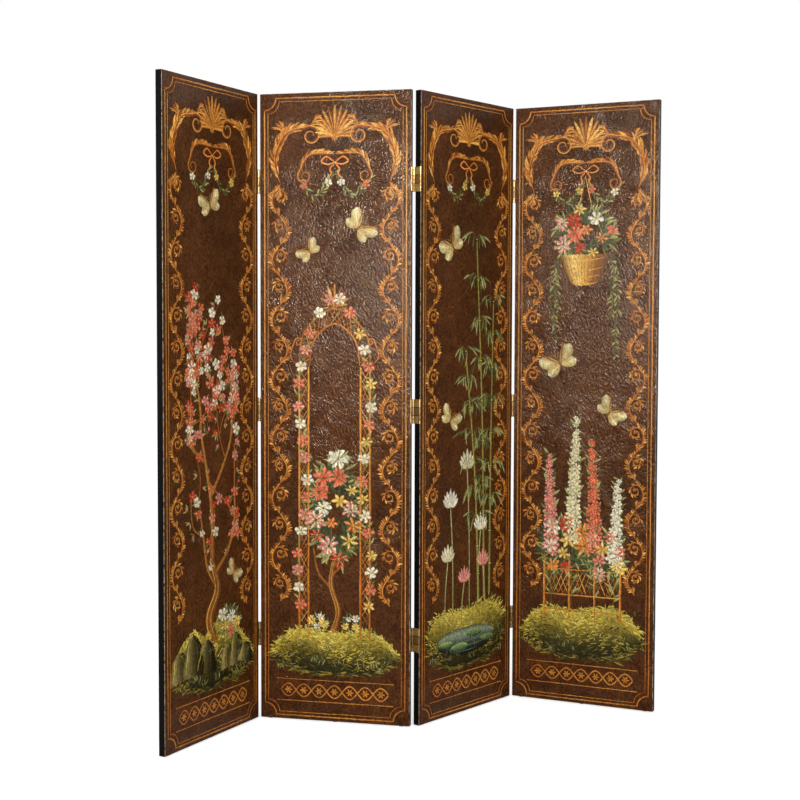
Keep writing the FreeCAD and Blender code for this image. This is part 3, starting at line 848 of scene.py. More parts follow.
@dataclass
class Scrollwork:
    """Gilt scrolls, leaves and lattices of a panel."""

    sheet: Brushwork

    def gold(self) -> Tone:
        """One of the gilder's tones."""
        return (GILT, GILT, GILT_DARK, GILT_LIGHT, HUSK)[self.sheet.rng.integers(5)]

    def line(self, points: Line, half: float = 1.5, tone: Tone = GILT,
             lift: float = 0.26) -> np.ndarray:
        """Thin line through a few points."""
        made = smooth(points)
        self.sheet.stroke(made, swell(20, half, 0.5, 0.5, 0.4), tone, lift)
        return made

    def scroll(self, points: Line, half: float, start_curl: tuple[float, int] | None = None,
               end_curl: tuple[float, int] | None = None) -> np.ndarray:
        """Scroll with a lit edge, curled at either end.

        Args:
            points: A few points that the scroll runs through.
            half: Half its width.
            start_curl: Radius and way of a curl at its start.
            end_curl: Radius and way of a curl at its end.

        Returns:
            The body of the scroll, without its curls.
        """
        body = smooth(points)
        whole = body
        if end_curl:
            whole = volute(whole, *end_curl)
        if start_curl:
            whole = volute(whole[::-1], *start_curl)[::-1]
        whole = even(whole, 120)
        self.gild(whole, half, (0.62, 0.25), swell(40, 1.0, 0.3, 0.5, 0.3), 0.8, Pen.SCROLL)
        return body

    def gild(self, line: np.ndarray, half: float, body: tuple[float, float], form: np.ndarray,
             least: float, pen: Pen) -> None:
        """Three strokes over each other: a dark one, its gilt body and a lit edge.

        Args:
            line: Middle of the dark stroke.
            half: Half its width.
            body: Share of the width that the gilt body takes, and how far it lies to the left.
            form: Width along the strokes, as a share of the full one.
            least: Least share of its width that an uneven place keeps.
            pen: Blank to bend.
        """
        layers = ((1.0, 0.0, GILT_DARK, 0.2), (*body, GILT, 0.3), (0.22, 0.3, GILT_LIGHT, 0.44))
        for share, shift, tone, lift in layers:
            uneven = half * share * form * self.sheet.rng.uniform(least, 1.15, len(form))
            self.sheet.stroke(beside(line, half * shift), uneven, tone, lift, pen)

    def fringe(self, line: np.ndarray, side: int, count: int, length: float, half: float,
               span: tuple[float, float], lean: float = 0.75, hook: float = -0.8) -> None:
        """Row of leaflets along one side of a line.

        Args:
            line: The line.
            side: 1 for its left side, -1 for its right.
            count: Number of leaflets.
            length: Length of the longest.
            half: Half width of the longest.
            span: Shares of the line where the row starts and ends.
            lean: Angle between the line and a leaflet.
            hook: How far a leaflet turns away from its side, in radians.
        """
        for share in np.linspace(0, 1, count):
            place = span[0] + (span[1] - span[0]) * share
            grown = 0.4 + 0.6 * math.sin(math.pi * (0.12 + 0.8 * share))
            grown *= 1 + self.sheet.jitter(0.15)
            heading = heading_of(line, place) + side * (lean + self.sheet.jitter(0.15))
            self.sheet.leaf(at(line, place), heading, length * grown, half * (0.5 + 0.5 * grown),
                            self.gold(), side * hook, 0.26)

    def acanthus(self, base: Sequence[float], heading: float, size: float, way: int) -> None:
        """Curled leaf of five lobes.

        Args:
            base: Where it springs.
            heading: Its direction in radians.
            size: Length of its longest lobe.
            way: 1 where it curls to the left, -1 to the right.
        """
        for lobe in range(5):
            angle = heading - way * 0.36 * lobe
            length = size * (1 - 0.16 * lobe)
            root = np.array(base) + size * 0.1 * lobe * toward(heading)
            self.sheet.leaf(root, angle, length, size * 0.1, GILT_DARK if lobe % 2 else GILT,
                            way * 1.1, 0.24 + 0.02 * lobe, 0.55, 0.2)
            self.sheet.leaf(root, angle + way * 0.06, length * 0.85, size * 0.028, GILT_LIGHT,
                            way * 1.05, 0.4, 0.55, 0.2)

    def palmette(self, centre: tuple[float, float], reach: float, blades: int,
                 spread: float) -> None:
        """Fan of leaves about a boss, upright."""
        for share in np.linspace(-1, 1, blades):
            length = reach * (1 - 0.42 * abs(share) ** 1.5)
            for part, half, tone, lift in ((1.0, 0.075, self.gold(), 0.28),
                                           (0.86, 0.02, GILT_LIGHT, 0.4)):
                self.sheet.leaf(np.array(centre), QUARTER + share * spread, length * part,
                                reach * half, tone, share * 0.5, lift, 0.7, 0.25)
        self.sheet.rosette(centre, math.pi / 4, reach * 0.13, reach * 0.04, HUSK, 0.46)

    def bars(self, low: np.ndarray, high: np.ndarray, count: int, slant: int = 0,
             half: float = 1.2) -> None:
        """Bars between two lines: a ladder, or a lattice where they slant.

        Args:
            low: One line.
            high: The other line.
            count: Number of bars.
            slant: Bars that a lattice bar passes before it reaches the other line.
            half: Half a bar's width.
        """
        spots = np.linspace(0, 1, count + 1)
        for first, second in zip(spots[:len(spots) - slant], spots[slant:]):
            for start, end in ((low, high), (high, low))[:1 + bool(slant)]:
                bar = np.array([at(start, first), at(end, second)])
                self.sheet.stroke(even(bar, 6), np.full(4, half), self.gold(), 0.2, Pen.DAB)

    def bow(self, centre: tuple[float, float], size: float) -> None:
        """Ribbon bow with two loops and two tails."""
        x, y = centre
        for side in (-1, 1):
            loop = [(x, y), (x + side * size * 0.6, y + size * 0.42),
                    (x + side * size, y + size * 0.1),
                    (x + side * size * 0.55, y - size * 0.12), (x, y)]
            tail = [(x, y), (x + side * size * 0.35, y - size * 0.45),
                    (x + side * size * 0.25, y - size * 0.8),
                    (x + side * size * 0.6, y - size * 1.15)]
            for points in (loop, tail):
                self.line(points, size * 0.09, ORANGE, 0.3)
                self.line(points, size * 0.025, YELLOW, 0.4)
        self.sheet.leaf(np.array([x - size * 0.1, y]), 0.0, size * 0.2, size * 0.1, YELLOW, 0, 0.46,
                        pen=Pen.DAB)


@dataclass
class Garden:
    """Plants, flowers, butterflies, baskets and ground of the painted garden."""

    ground: Brushwork
    leaves: Brushwork
    blooms: Brushwork
    tuft_height: float = 22.0
    crown: tuple[float, float] = (122.0, 328.0)
    large_flower: float = 17.0
    thick_trunk: float = 7.0

    def green(self) -> Tone:
        """One of the leaf tones."""
        return (MOSS, OLIVE, OLIVE_LIGHT, OLIVE_LIGHT)[self.leaves.rng.integers(4)]

    def spray(self, points: Line, count: int, length: float, half: float, stem: float = 1.2,
              spread: float = 0.95) -> np.ndarray:
        """Leafy stem.

        Args:
            points: A few points that the stem runs through.
            count: Number of leaves.
            length: Length of the longest leaf.
            half: Half width of the longest leaf.
            stem: Half width of the stem.
            spread: Angle between stem and leaf.

        Returns:
            The stem's line.
        """
        line = smooth(points)
        self.leaves.stroke(line, swell(12, stem, 1.0, 0.1, 0.4), STEM, 0.18)
        for index, share in enumerate(np.linspace(0.06, 1, count)):
            side = 1 if index % 2 else -1
            grown = (0.65 + 0.35 * math.sin(math.pi * share)) * (1 + self.leaves.jitter(0.25))
            heading = heading_of(line, share) + side * (spread + self.leaves.jitter(0.4))
            self.leaves.leaf(at(line, share), heading, length * grown, half * grown, self.green(),
                             -side * 0.5, 0.26)
        return line

    def swag(self, start: tuple[float, float], end: tuple[float, float], sag: float,
             flowers: int = 3) -> None:
        """Garland hung between two points."""
        middle = ((start[0] + end[0]) / 2, (start[1] + end[1]) / 2 - sag)
        length = math.dist(start, middle) + math.dist(middle, end)
        line = self.spray([start, middle, end], int(length / 5), 18, 3.4, spread=0.8)
        for share in np.linspace(0.2, 0.8, flowers):
            self.star(at(line, share), 12, 5, (CORAL, YELLOW, WHITE)[self.blooms.rng.integers(3)])

    def star(self, centre: Sequence[float], size: float, petals: int, tone: Tone,
             pointed: bool = False, lift: float = 0.4) -> None:
        """Open flower seen from the front.

        Args:
            centre: Its middle.
            size: Its radius.
            petals: Number of petals.
            tone: Colours of the petals.
            pointed: Whether the petals end in points.
            lift: Height of the paint.
        """
        turn, squash = self.blooms.rng.uniform(0, math.pi), self.blooms.rng.uniform(0.7, 1.0)
        for index in range(petals):
            angle = turn + index * TURN / petals + self.blooms.jitter(0.15)
            across, up = toward(angle)
            reach = size * math.hypot(across, up * squash) * (1 + self.blooms.jitter(0.12))
            start = np.array(centre) + 0.1 * size * toward(angle)
            bend = self.blooms.jitter(0.4)
            self.blooms.leaf(start, angle, reach * 0.92, size * (1.75 if pointed else 2.4) / petals,
                             tone, bend, lift, 0.5 if pointed else 0.68, 0.06 if pointed else 0.55)
            if size > self.large_flower:
                self.blooms.leaf(start, angle + 0.1, reach * 0.8, size * 0.05, GLINT, bend,
                                 lift + 0.12, 0.7, pen=Pen.DAB)
        self.blooms.rosette(centre, math.pi / 2.5, size * 0.22, size * 0.08, HEART, lift + 0.2,
                            turn=turn)

    def peony(self, centre: Sequence[float], size: float, tone: Tone, light: Tone) -> None:
        """Full flower of four rings of petals over dark leaves."""
        turn = self.blooms.rng.uniform(0, math.pi)
        for index in range(6):
            self.leaves.leaf(np.array(centre), turn + index * 1.05, size * 1.35, size * 0.2,
                             self.green(), self.leaves.jitter(0.5), 0.3)
        rings = ((1.0, 8, tone), (0.78, 7, light), (0.56, 6, tone), (0.34, 4, light))
        for ring, (reach, petals, colour) in enumerate(rings):
            turn = self.blooms.rng.uniform(0, math.pi)
            for index in range(petals):
                angle = turn + index * TURN / petals
                start = np.array(centre) + 0.1 * size * toward(angle)
                self.blooms.leaf(start, angle + self.blooms.jitter(0.2),
                                 size * reach * (1 + self.blooms.jitter(0.14)),
                                 size * reach * 0.37, colour, self.blooms.jitter(0.6),
                                 0.34 + 0.07 * ring, 0.72, 0.45)

    def bud(self, base: np.ndarray, heading: float, size: float, tone: Tone) -> None:
        """Closed flower."""
        for turn in (-0.32, 0.32, 0.0):
            self.blooms.leaf(base, heading + turn, size, size * 0.22, tone, -turn, 0.36)
        self.leaves.leaf(base, heading, size * 0.4, size * 0.2, OLIVE, 0, 0.42, pen=Pen.DAB)

    def basket(self, foot: tuple[float, float], height: float, profile: Line, tone: Tone,
               bands: Sequence[float]) -> None:
        """Basket shaded as a round form.

        Args:
            foot: Middle of its foot.
            height: Its height.
            profile: Share of the height and half width at each level.
            tone: Colours from its right side to its left.
            bands: Shares of the height where a pale cane goes round it.
        """
        levels = np.linspace(0, 1, 40)
        halves = np.interp(levels, *zip(*profile))
        line = np.stack([np.full(40, foot[0]), foot[1] + height * levels], -1)
        self.ground.stroke(line, halves, tone, 0.34, Pen.FORM)
        for share in bands:
            half = float(np.interp(share, levels, halves))
            across = np.linspace(-1, 1, 12)
            arc = np.stack([foot[0] + half * 0.96 * across,
                            foot[1] + height * share - half * 0.16 * (1 - across ** 2)], -1)
            self.ground.stroke(arc, swell(8, 2.2, 0.4, 0.5, 0.4), GILT_LIGHT, 0.64, Pen.LEAF)

    def tuft(self, base: Sequence[float], size: float, blades: int) -> None:
        """Grass tuft."""
        for _ in range(blades):
            start = np.array(base) + np.array([self.leaves.jitter(size * 0.5),
                                               self.leaves.jitter(size * 0.12)])
            self.leaves.leaf(start, QUARTER + self.leaves.jitter(0.8),
                             size * self.leaves.rng.uniform(0.5, 1.1),
                             size * 0.085, self.green(), self.leaves.jitter(0.7), 0.42, 0.3,
                             pen=Pen.DAB)

    def mound(self, low: Line, high: Line, dabs: int, tufts: int) -> None:
        """Grassy ground between a lower and an upper edge, laid in dabs from dark to light.

        Args:
            low: Points of the lower edge, from left to right.
            high: Points of the upper edge, from left to right.
            dabs: Number of dabs.
            tufts: Number of grass tufts.
        """
        rng, under, over = self.ground.rng, smooth(low), smooth(high)
        draw = rng.uniform
        middle = (under + over) / 2
        round_ends = (1 - np.abs(np.linspace(-1, 1, SMOOTH_POINTS)) ** 3.4) ** 0.7
        rise = (over - middle) * round_ends[:, None]
        self.ground.stroke(middle, np.hypot(*rise.T), TURF, 0.1, Pen.FORM)
        for _ in range(dabs):
            place, depth = draw(0.01, 0.99), draw(-0.04, 1.04)
            lit = 0.06 + 0.78 * depth + 0.24 * math.sin(place * 9 + depth * 5) + draw(-0.28, 0.28)
            heading = heading_of(over, place) + draw(-0.6, 0.6)
            heading += math.pi if rng.random() < 0.5 else 0
            self.ground.leaf(at(middle, place) + at(rise, place) * (2 * depth - 1), heading,
                             draw(9, 24), draw(1.6, 3.6), GRASS[int(np.clip(lit, 0, 0.99) * 5)],
                             draw(-0.6, 0.6), 0.16 + 0.08 * depth, 0.4, 0.2, Pen.DAB)
        for share in np.linspace(0.01, 0.99, 90):
            blade = QUARTER + draw(-0.9, 0.9)
            self.ground.leaf(at(middle, share) + at(rise, share) * 0.94, blade, draw(7, 19),
                             draw(1.2, 2.6),
                             GRASS[rng.integers(1, 5)], draw(-0.6, 0.6), 0.28, 0.3, 0.1, Pen.DAB)
            self.ground.leaf(at(middle, share) - at(rise, share) * draw(0.9, 1.05),
                             draw(-0.35, 0.35) + (math.pi if share < 0.5 else 0), draw(16, 38),
                             draw(1.6, 3.2), GRASS[rng.integers(0, 3)], draw(-0.3, 0.3), 0.22, 0.4,
                             0.1, Pen.DAB)
        for _ in range(tufts):
            place, depth = self.leaves.rng.uniform(0.05, 0.95), self.leaves.rng.uniform(0.05, 0.95)
            spot = at(under, place) * (1 - depth) + at(over, place) * depth
            self.tuft(spot, self.tuft_height * (1.1 - 0.4 * depth), 4)

    def rock(self, foot: tuple[float, float], size: float, peaks: int) -> None:
        """Garden rock: broad overlapping peaks, each lit down its left side."""
        levels = np.linspace(0, 1, 14)
        for index in range(peaks):
            lean = (index + 0.5) / peaks * 2 - 1
            high = size * (1.0 - 0.45 * abs(lean)) * (1 + self.ground.jitter(0.15))
            x = foot[0] + size * 0.7 * lean
            line = smooth([(x, foot[1] - size * 0.06),
                           (x + size * 0.1 * lean, foot[1] + high * 0.5),
                           (x + size * 0.06 * lean + self.ground.jitter(size * 0.08),
                            foot[1] + high)], 24)
            halves = size * 0.52 * np.interp(levels, [0, 0.3, 0.5, 0.72, 0.88, 1],
                                             [1.0, 0.93, 0.74, 0.68, 0.4, 0.1])
            self.ground.stroke(line, halves, STONE, 0.26 + 0.03 * (index % 3), Pen.FORM)
            for shift, tone, half in ((0.66, GRASS[3], 0.026), (0.34, GRASS[1], 0.034),
                                      (0.05, GRASS[0], 0.03), (-0.4, GRASS[1], 0.02)):
                seam = beside(line, shift * np.interp(np.linspace(0, 1, 24), levels, halves))
                self.ground.stroke(seam[1:21], swell(8, size * half, 0.3, 0.6, 0.1), tone, 0.56,
                                   Pen.LEAF)

    def bush(self, centre: Sequence[float], reach: tuple[float, float], size: float, count: int,
             greens: int, tones: Sequence[Tone]) -> None:
        """Leaves with well spaced flowers over them.

        Args:
            centre: Its middle.
            reach: Half its width and half its height.
            size: Radius of the largest flowers.
            count: Most flowers that it can have.
            greens: Number of leaves.
            tones: Colours of the flowers, used in turn.
        """
        rng, middle, spots = self.blooms.rng, np.array(centre, float), []
        for _ in range(greens):
            angle, share = rng.uniform(0, TURN), rng.uniform(0.1, 0.95) ** 0.6
            away = toward(angle)
            dark = share < 0.75
            self.leaves.leaf(middle + share * away * reach, angle + rng.uniform(-0.9, 0.9),
                             size * rng.uniform(0.8, 1.5),
                             size * (0.26 if dark else 0.19), MOSS if dark else self.green(),
                             rng.uniform(-0.8, 0.8), 0.2 + 0.08 * share)
        for _ in range(12 * count):
            angle, share = rng.uniform(0, TURN), math.sqrt(rng.uniform(0, 1))
            spot = middle + share * toward(angle) * reach
            if len(spots) < count and all(math.dist(spot, other) > 1.35 * size for other in spots):
                spots.append(spot)
        for index, spot in enumerate(spots):
            tone, grown = tones[index % len(tones)], size * rng.uniform(0.6, 1.0)
            if index % 2:
                self.star(spot, grown, 6, tone, tone in (ORANGE, YELLOW, RED), 0.5)
            else:
                self.peony(spot, grown, tone, CREAM if tone in (ROSE, WHITE) else tone)

    def cane(self, foot: tuple[float, float], height: float, lean: float, half: float) -> None:
        """Bamboo: jointed cane with leaves that hang from short twigs at its joints."""
        line = smooth([foot, (foot[0] + lean * 0.3, foot[1] + height * 0.5),
                       (foot[0] + lean, foot[1] + height)], 91)
        rng = self.leaves.rng
        self.ground.stroke(line, half * np.linspace(1.0, 0.5, 12), BAMBOO, 0.32, Pen.SCROLL)
        for joint in range(1, 10):
            spot, width = line[joint * 10], half * (1.3 - 0.07 * joint)
            for drop, tone in ((0.0, GRASS[4]), (-3.2, MOSS)):
                ring = spot + np.array([(-width, drop), (0.0, drop - 0.8), (width, drop)])
                self.ground.stroke(ring, np.full(4, 1.4), tone, 0.5, Pen.DAB)
            for side in (-1, 1) if joint > 2 else ():
                reach = rng.uniform(22, 46)
                twig = smooth([spot, spot + reach * np.array([side * 0.5, 0.5]),
                               spot + reach * np.array([side, 0.35])], 12)
                self.leaves.stroke(twig, np.full(4, 1.2), STEM, 0.46, Pen.LEAF)
                for share in np.linspace(0.25, 1, 6):
                    self.leaves.leaf(at(twig, share), -QUARTER + side * rng.uniform(-0.2, 1.5),
                                     rng.uniform(32, 60), 4.6, self.green(), -0.35 * side, 0.5)

    def trunk(self, points: Line, start: float, end: float) -> np.ndarray:
        """Branch or trunk that thins from its start to its end."""
        line = smooth(points)
        wavy = np.linspace(start, end, 30) * (1 + 0.14 * np.sin(np.linspace(0, 23, 30)))
        self.ground.stroke(line, wavy, BARK, 0.26)
        ridges = ((-0.5, GILT_DARK), (-0.1, HEART), (0.25, GILT_DARK), (0.55, GILT_LIGHT))
        for shift, tone in ridges if start > self.thick_trunk else ():
            away = shift * np.linspace(start, end, SMOOTH_POINTS) + self.ground.jitter(1.0)
            uneven = swell(12, start * 0.09) * self.ground.rng.uniform(0.5, 1.4, 12)
            self.ground.stroke(beside(line, away)[3:57], uneven, tone, 0.46)
        return line

    def tree(self, root: np.ndarray, heading: float, length: float, half: float,
             forks: int) -> None:
        """Blossoming branch with the branches that grow from it.

        Args:
            root: Where it starts.
            heading: Its direction in radians.
            length: Its length.
            half: Half its thickness at the root.
            forks: How many times it forks again.
        """
        points, turn = [tuple(root)], heading
        for _ in range(3):
            turn += self.ground.jitter(0.35) + 0.12 * (QUARTER - turn)
            x = points[-1][0] + math.cos(turn) * length / 3
            points.append((float(np.clip(x, *self.crown)),
                           points[-1][1] + math.sin(turn) * length / 3))
        line = self.trunk(points, half, half * 0.5)
        if forks < 2:
            self.blossoms(line, 4, (0.3, 1.0), 14)
        if forks:
            for share, aside in ((0.46, 0.85), (0.72, -0.9), (0.92, 0.25)):
                way = -1 if forks % 2 else 1
                turned = heading_of(line, share) + way * aside + self.ground.jitter(0.2)
                shorter = length * (0.66 + self.ground.jitter(0.1))
                self.tree(at(line, share), turned, shorter, half * 0.58, forks - 1)

    def spike(self, base: tuple[float, float], height: float, lean: float, size: float,
              tone: Tone) -> None:
        """Tall flower spike, with leaves below and flowers that shrink towards its tip."""
        line = self.spray([base, (base[0] + lean * 0.3, base[1] + height * 0.5),
                           (base[0] + lean, base[1] + height)],
                          int(height / 9), size * 1.6, size * 0.3, 1.8, 1.1)
        for index, share in enumerate(np.linspace(0.36, 0.98, int(height / 17))):
            side = np.array([size * 0.6 * (-1 if index % 2 else 1) * (1.2 - share), 0.0])
            self.star(at(line, share) + side, size * (1.25 - 0.85 * share), 6, tone, lift=0.46)

    def blossoms(self, line: np.ndarray, count: int, span: tuple[float, float],
                 spread: float) -> None:
        """Blossoms, buds and leaves along a branch."""
        draw = self.blooms.rng.uniform
        for share in np.linspace(*span, count):
            away = heading_of(line, share) + (1 if self.blooms.rng.random() < 0.5 else -1) * QUARTER
            spot = at(line, share) + spread * draw(0.1, 1) * toward(away)
            for _ in range(3):
                self.leaves.leaf(spot, away + self.leaves.jitter(1.6),
                                 self.leaves.rng.uniform(16, 27),
                                 3.8, self.green(), self.leaves.jitter(0.6), 0.24)
            if self.blooms.rng.random() < 0.75:
                self.star(spot, draw(12, 19), 5,
                          (CORAL, ROSE, WHITE, RED)[self.blooms.rng.integers(4)])
            else:
                self.bud(spot, away, draw(12, 17), (CORAL, ROSE)[self.blooms.rng.integers(2)])

    def butterfly(self, centre: tuple[float, float], span: float, heading: float) -> None:
        """Butterfly seen from above, with its head along heading."""
        middle = np.array(centre)
        ahead = toward(heading)
        for side in (-1, 1):
            for turn, length, half, tone, lift in (
                (1.95, 0.52, 0.2, WING, 0.3), (1.1, 0.68, 0.24, WING, 0.38),
                (0.86, 0.64, 0.02, HUSK, 0.6),
                (1.04, 0.54, 0.016, HUSK, 0.6), (1.3, 0.46, 0.016, HUSK, 0.6),
                (1.8, 0.4, 0.018, HUSK, 0.5),
                (2.1, 0.36, 0.03, ORANGE, 0.5), (0.74, 0.66, 0.03, GILT_DARK, 0.5),
            ):
                self.blooms.leaf(middle, heading + side * turn, span * length, span * half, tone,
                                 -side * 0.3, lift, 0.64, 0.4)
            self.blooms.leaf(middle + 0.16 * span * ahead, heading + side * 0.3, span * 0.26,
                             span * 0.012, HUSK, side * 0.8, 0.3)
        self.blooms.leaf(middle - 0.24 * span * ahead, heading, span * 0.46, span * 0.045, INSECT,
                         0, 0.66)

    def lotus(self, base: tuple[float, float], height: float, lean: float, size: float,
              tone: Tone) -> None:
        """Lotus flower on its stalk."""
        top = (base[0] + lean, base[1] + height)
        self.leaves.stroke(smooth([base, (base[0] + lean * 0.2, base[1] + height * 0.6), top]),
                           np.full(4, 3.0), OLIVE_LIGHT, 0.5)
        for turn in (-1.25, 1.25, -0.85, 0.85, -0.45, 0.45, 0.0):
            for part, half, colour, lift in ((1.0, 0.2, tone, 0.5), (0.8, 0.03, GLINT, 0.6)):
                self.blooms.leaf(np.array(top), QUARTER + turn,
                                 size * part * (1 - 0.18 * abs(turn)), size * half,
                                 colour, -turn * 0.45, lift - 0.1 * abs(turn))

    def pad(self, centre: tuple[float, float], half: float) -> None:
        """Lotus leaf lying on the water, with its ribs."""
        around = np.linspace(-1, 1, 24)
        line = np.stack([half * around + centre[0], np.full(24, float(centre[1]))], -1)
        halves = half * 0.34 * np.sqrt(np.clip(1 - around ** 2, 0.01, 1))
        self.ground.stroke(line, halves, LOTUS_LEAF, 0.54, Pen.FORM)
        for angle in np.linspace(0, TURN, 9, endpoint=False):
            way = np.array([math.cos(angle), 0.34 * math.sin(angle)])
            end = np.array(centre) + half * 0.82 * way
            rib = even(np.array([centre, end]), 6)
            self.ground.stroke(rib, np.array([1.5, 0.8]), OLIVE_LIGHT, 0.8, Pen.DAB)


# ---------------------------------------------------------------- the four painted panels


@dataclass
class PaintedPanel:
    """Painting on one panel: the gilt border that all four share, and a picture of its own.

    The two lines round the panel are given by their inset and half their width.
    """

    place: PanelPlace
    finish: Paintwork
    edge_clearance: float = 1.4
    lines: tuple[tuple[float, float], ...] = ((14.0, 2.8), (24.0, 1.4))
    notch: float = 34.0
    vine_middle: float = 60.0
    vine_swing: float = 23.0
    vine_foot: float = 350.0
    vine_head: float = 1565.0
    waves: int = 7
    plait_level: float = 90.0
    plait_margin: float = 62.0
    plait_swing: float = 19.0
    plait_edge: float = 32.0
    plait_eyes: int = 7
    bank_margin: float = 34.0
    bank_foot: float = 140.0
    gilding: Brushwork = field(init=False)
    ground: Brushwork = field(init=False)
    leaves: Brushwork = field(init=False)
    blooms: Brushwork = field(init=False)

    def __post_init__(self) -> None:
        """Set out the empty sheets."""
        self.width, self.height = self.place.width / MM, self.place.height / MM
        self.middle = self.width / 2
        for offset, kind in enumerate(("gilding", "ground", "leaves", "blooms")):
            name = f"panel_{self.place.index}_{kind}"
            setattr(self, kind, Brushwork(name, self.middle, 10 * self.place.index + offset))
        self.sheets = (self.gilding, self.ground, self.leaves, self.blooms)
        self.scrolls = Scrollwork(self.gilding)
        self.garden = Garden(self.ground, self.leaves, self.blooms)

    def both_sides(self, draw: Callable[[], None]) -> None:
        """Draw something and its mirror image."""
        for mirrored in (False, True):
            for sheet in self.sheets:
                sheet.mirrored = mirrored
            draw()
        for sheet in self.sheets:
            sheet.mirrored = False

    def picture(self) -> None:
        """Lay the strokes inside the border; each panel has its own."""
        raise NotImplementedError

    def rule(self, start: tuple[float, float], end: tuple[float, float], half: float,
             lift: float = 0.3) -> None:
        """Straight bar with a lit edge."""
        ends, rng = np.array([start, end], float), self.gilding.rng
        # A stroke dips into the leather at its ends, so the bar is a little longer than it shows.
        bar = even(ends + 0.0025 * (ends - ends[::-1]), 24)
        bar = beside(bar, rng.uniform(-0.5, 0.5, 24))
        self.gilding.stroke(bar, half * rng.uniform(0.75, 1.15, 24), GILT, lift, Pen.SCROLL)
        self.gilding.stroke(beside(bar, half * 0.4), half * rng.uniform(0.12, 0.36, 24), GILT_LIGHT,
                            lift + 0.12, Pen.SCROLL)

    def _lines(self) -> None:
        """One side of the double line round the panel, with notched corners."""
        turn = np.linspace(-0.06, QUARTER + 0.06, 14)
        for inset, half in self.lines:
            side = inset + self.notch
            for level, way in ((inset, 1), (self.height - inset, -1)):
                arc = np.stack([inset + self.notch * np.sin(turn),
                                level + way * self.notch * np.cos(turn)], -1)
                self.gilding.stroke(arc, np.full(6, half), GILT, 0.26, Pen.LEAF)
                self.rule((side, level), (self.middle + 3, level), half, lift=0.24)
            self.rule((inset, side), (inset, self.height - side), half, lift=0.24)

    def _vine(self) -> None:
        """Running vine up one side, with a curled branch, a boss and leaves in each hollow."""
        s, pitch = self.scrolls, (self.vine_head - self.vine_foot) / self.waves / 2
        for bend in range(2 * self.waves):
            side = 1 if bend % 2 == 0 else -1
            share = np.linspace(0, 1, 30)
            stem = np.stack([self.vine_middle + side * self.vine_swing * np.sin(math.pi * share),
                             self.vine_foot + (bend + share) * pitch], -1)
            curl = volute(stem[18:23], 19, side, 1.25)
            for line, half in ((stem, 4.6 + self.gilding.jitter(0.7)), (curl, 3.6)):
                s.gild(line, half, (0.6, 0.3), swell(20, 1.0, 0.7, 0.5, 0.6), 0.78, Pen.LINE)
            self.gilding.rosette(curl[-1], 1.26, 7, 2.3, HUSK, 0.42, 0.3)
            s.acanthus(stem[0], heading_of(stem, 0.0) + 0.3 * side, 31 + self.gilding.jitter(5),
                       -side)
            s.fringe(stem, -side, 13, 18, 4.3, (0.1, 0.94), 0.5, 0.9)
            s.fringe(curl, -side, 8, 17, 3.8, (0.02, 0.6), 0.55, -0.5)

    def _plait(self) -> None:
        """Plaited band at the foot, with a boss in each eye."""
        start, end = self.plait_margin, self.width - self.plait_margin
        share = np.linspace(0, 1, 140)
        for sign in (1, -1):
            wave = sign * self.plait_swing * np.sin(math.pi * self.plait_eyes * share)
            strand = np.stack([start + (end - start) * share, self.plait_level + wave], -1)
            for half, tone, lift in ((5.0, GILT_DARK, 0.22), (3.2, GILT, 0.32),
                                     (1.1, GILT_LIGHT, 0.46)):
                self.gilding.stroke(strand, np.full(6, half), tone, lift, Pen.SCROLL)
        for eye in range(self.plait_eyes):
            spot = (start + (end - start) * (eye + 0.5) / self.plait_eyes, self.plait_level)
            self.gilding.rosette(spot, 1.05, 12, 3.6, HUSK, 0.3)
        for level in (self.plait_level - self.plait_edge, self.plait_level + self.plait_edge):
            self.rule((start - 14, level), (end + 14, level), 1.8)

    def _head(self) -> None:
        """One side of the scrolls at the head."""
        s = self.scrolls
        crown = s.scroll([(62, 1572), (46, 1640), (78, 1712), (146, 1732)], 8.0, None, (27, -1))
        s.fringe(crown, 1, 26, 38, 5.4, (0.06, 0.95))
        s.fringe(crown, -1, 20, 30, 4.6, (0.12, 0.85))
        brace = s.scroll([(118, 1600), (150, 1650), (225, 1652)], 6.2, (19, 1), None)
        s.fringe(brace, 1, 18, 27, 4.4, (0.1, 0.9))
        for leaf in (((62, 1572), -1.9, 58, -1), ((78, 1712), 2.2, 52, 1),
                     ((146, 1732), 0.5, 62, -1)):
            s.acanthus(*leaf)

    def _border(self) -> None:
        """The whole border."""
        for draw in (self._lines, self._vine, self._head):
            self.both_sides(draw)
        self._plait()
        self.scrolls.palmette((self.middle, 1700), 94, 15, 1.3)
        self.scrolls.bow((self.middle, 1628), 40)
        self.garden.swag((112, 1590), (self.middle, 1600), 62, 2)
        self.garden.swag((self.middle, 1600), (self.width - 112, 1590), 62, 2)

    def bank(self, crest: Sequence[float], dabs: int = 1000, tufts: int = 46) -> None:
        """Ground along the foot of the picture, with its crest at even steps across."""
        across = np.linspace(self.bank_margin, self.width - self.bank_margin, len(crest))
        low = [(x, self.bank_foot + 6 * (index % 2)) for index, x in enumerate(across)]
        self.garden.mound(low, list(zip(across, crest)), dabs, tufts)

    def build(self) -> None:
        """Paint the border and the picture and lay them on the panel."""
        self._border()
        self.picture()
        for sheet in self.sheets:
            self._lay(sheet)

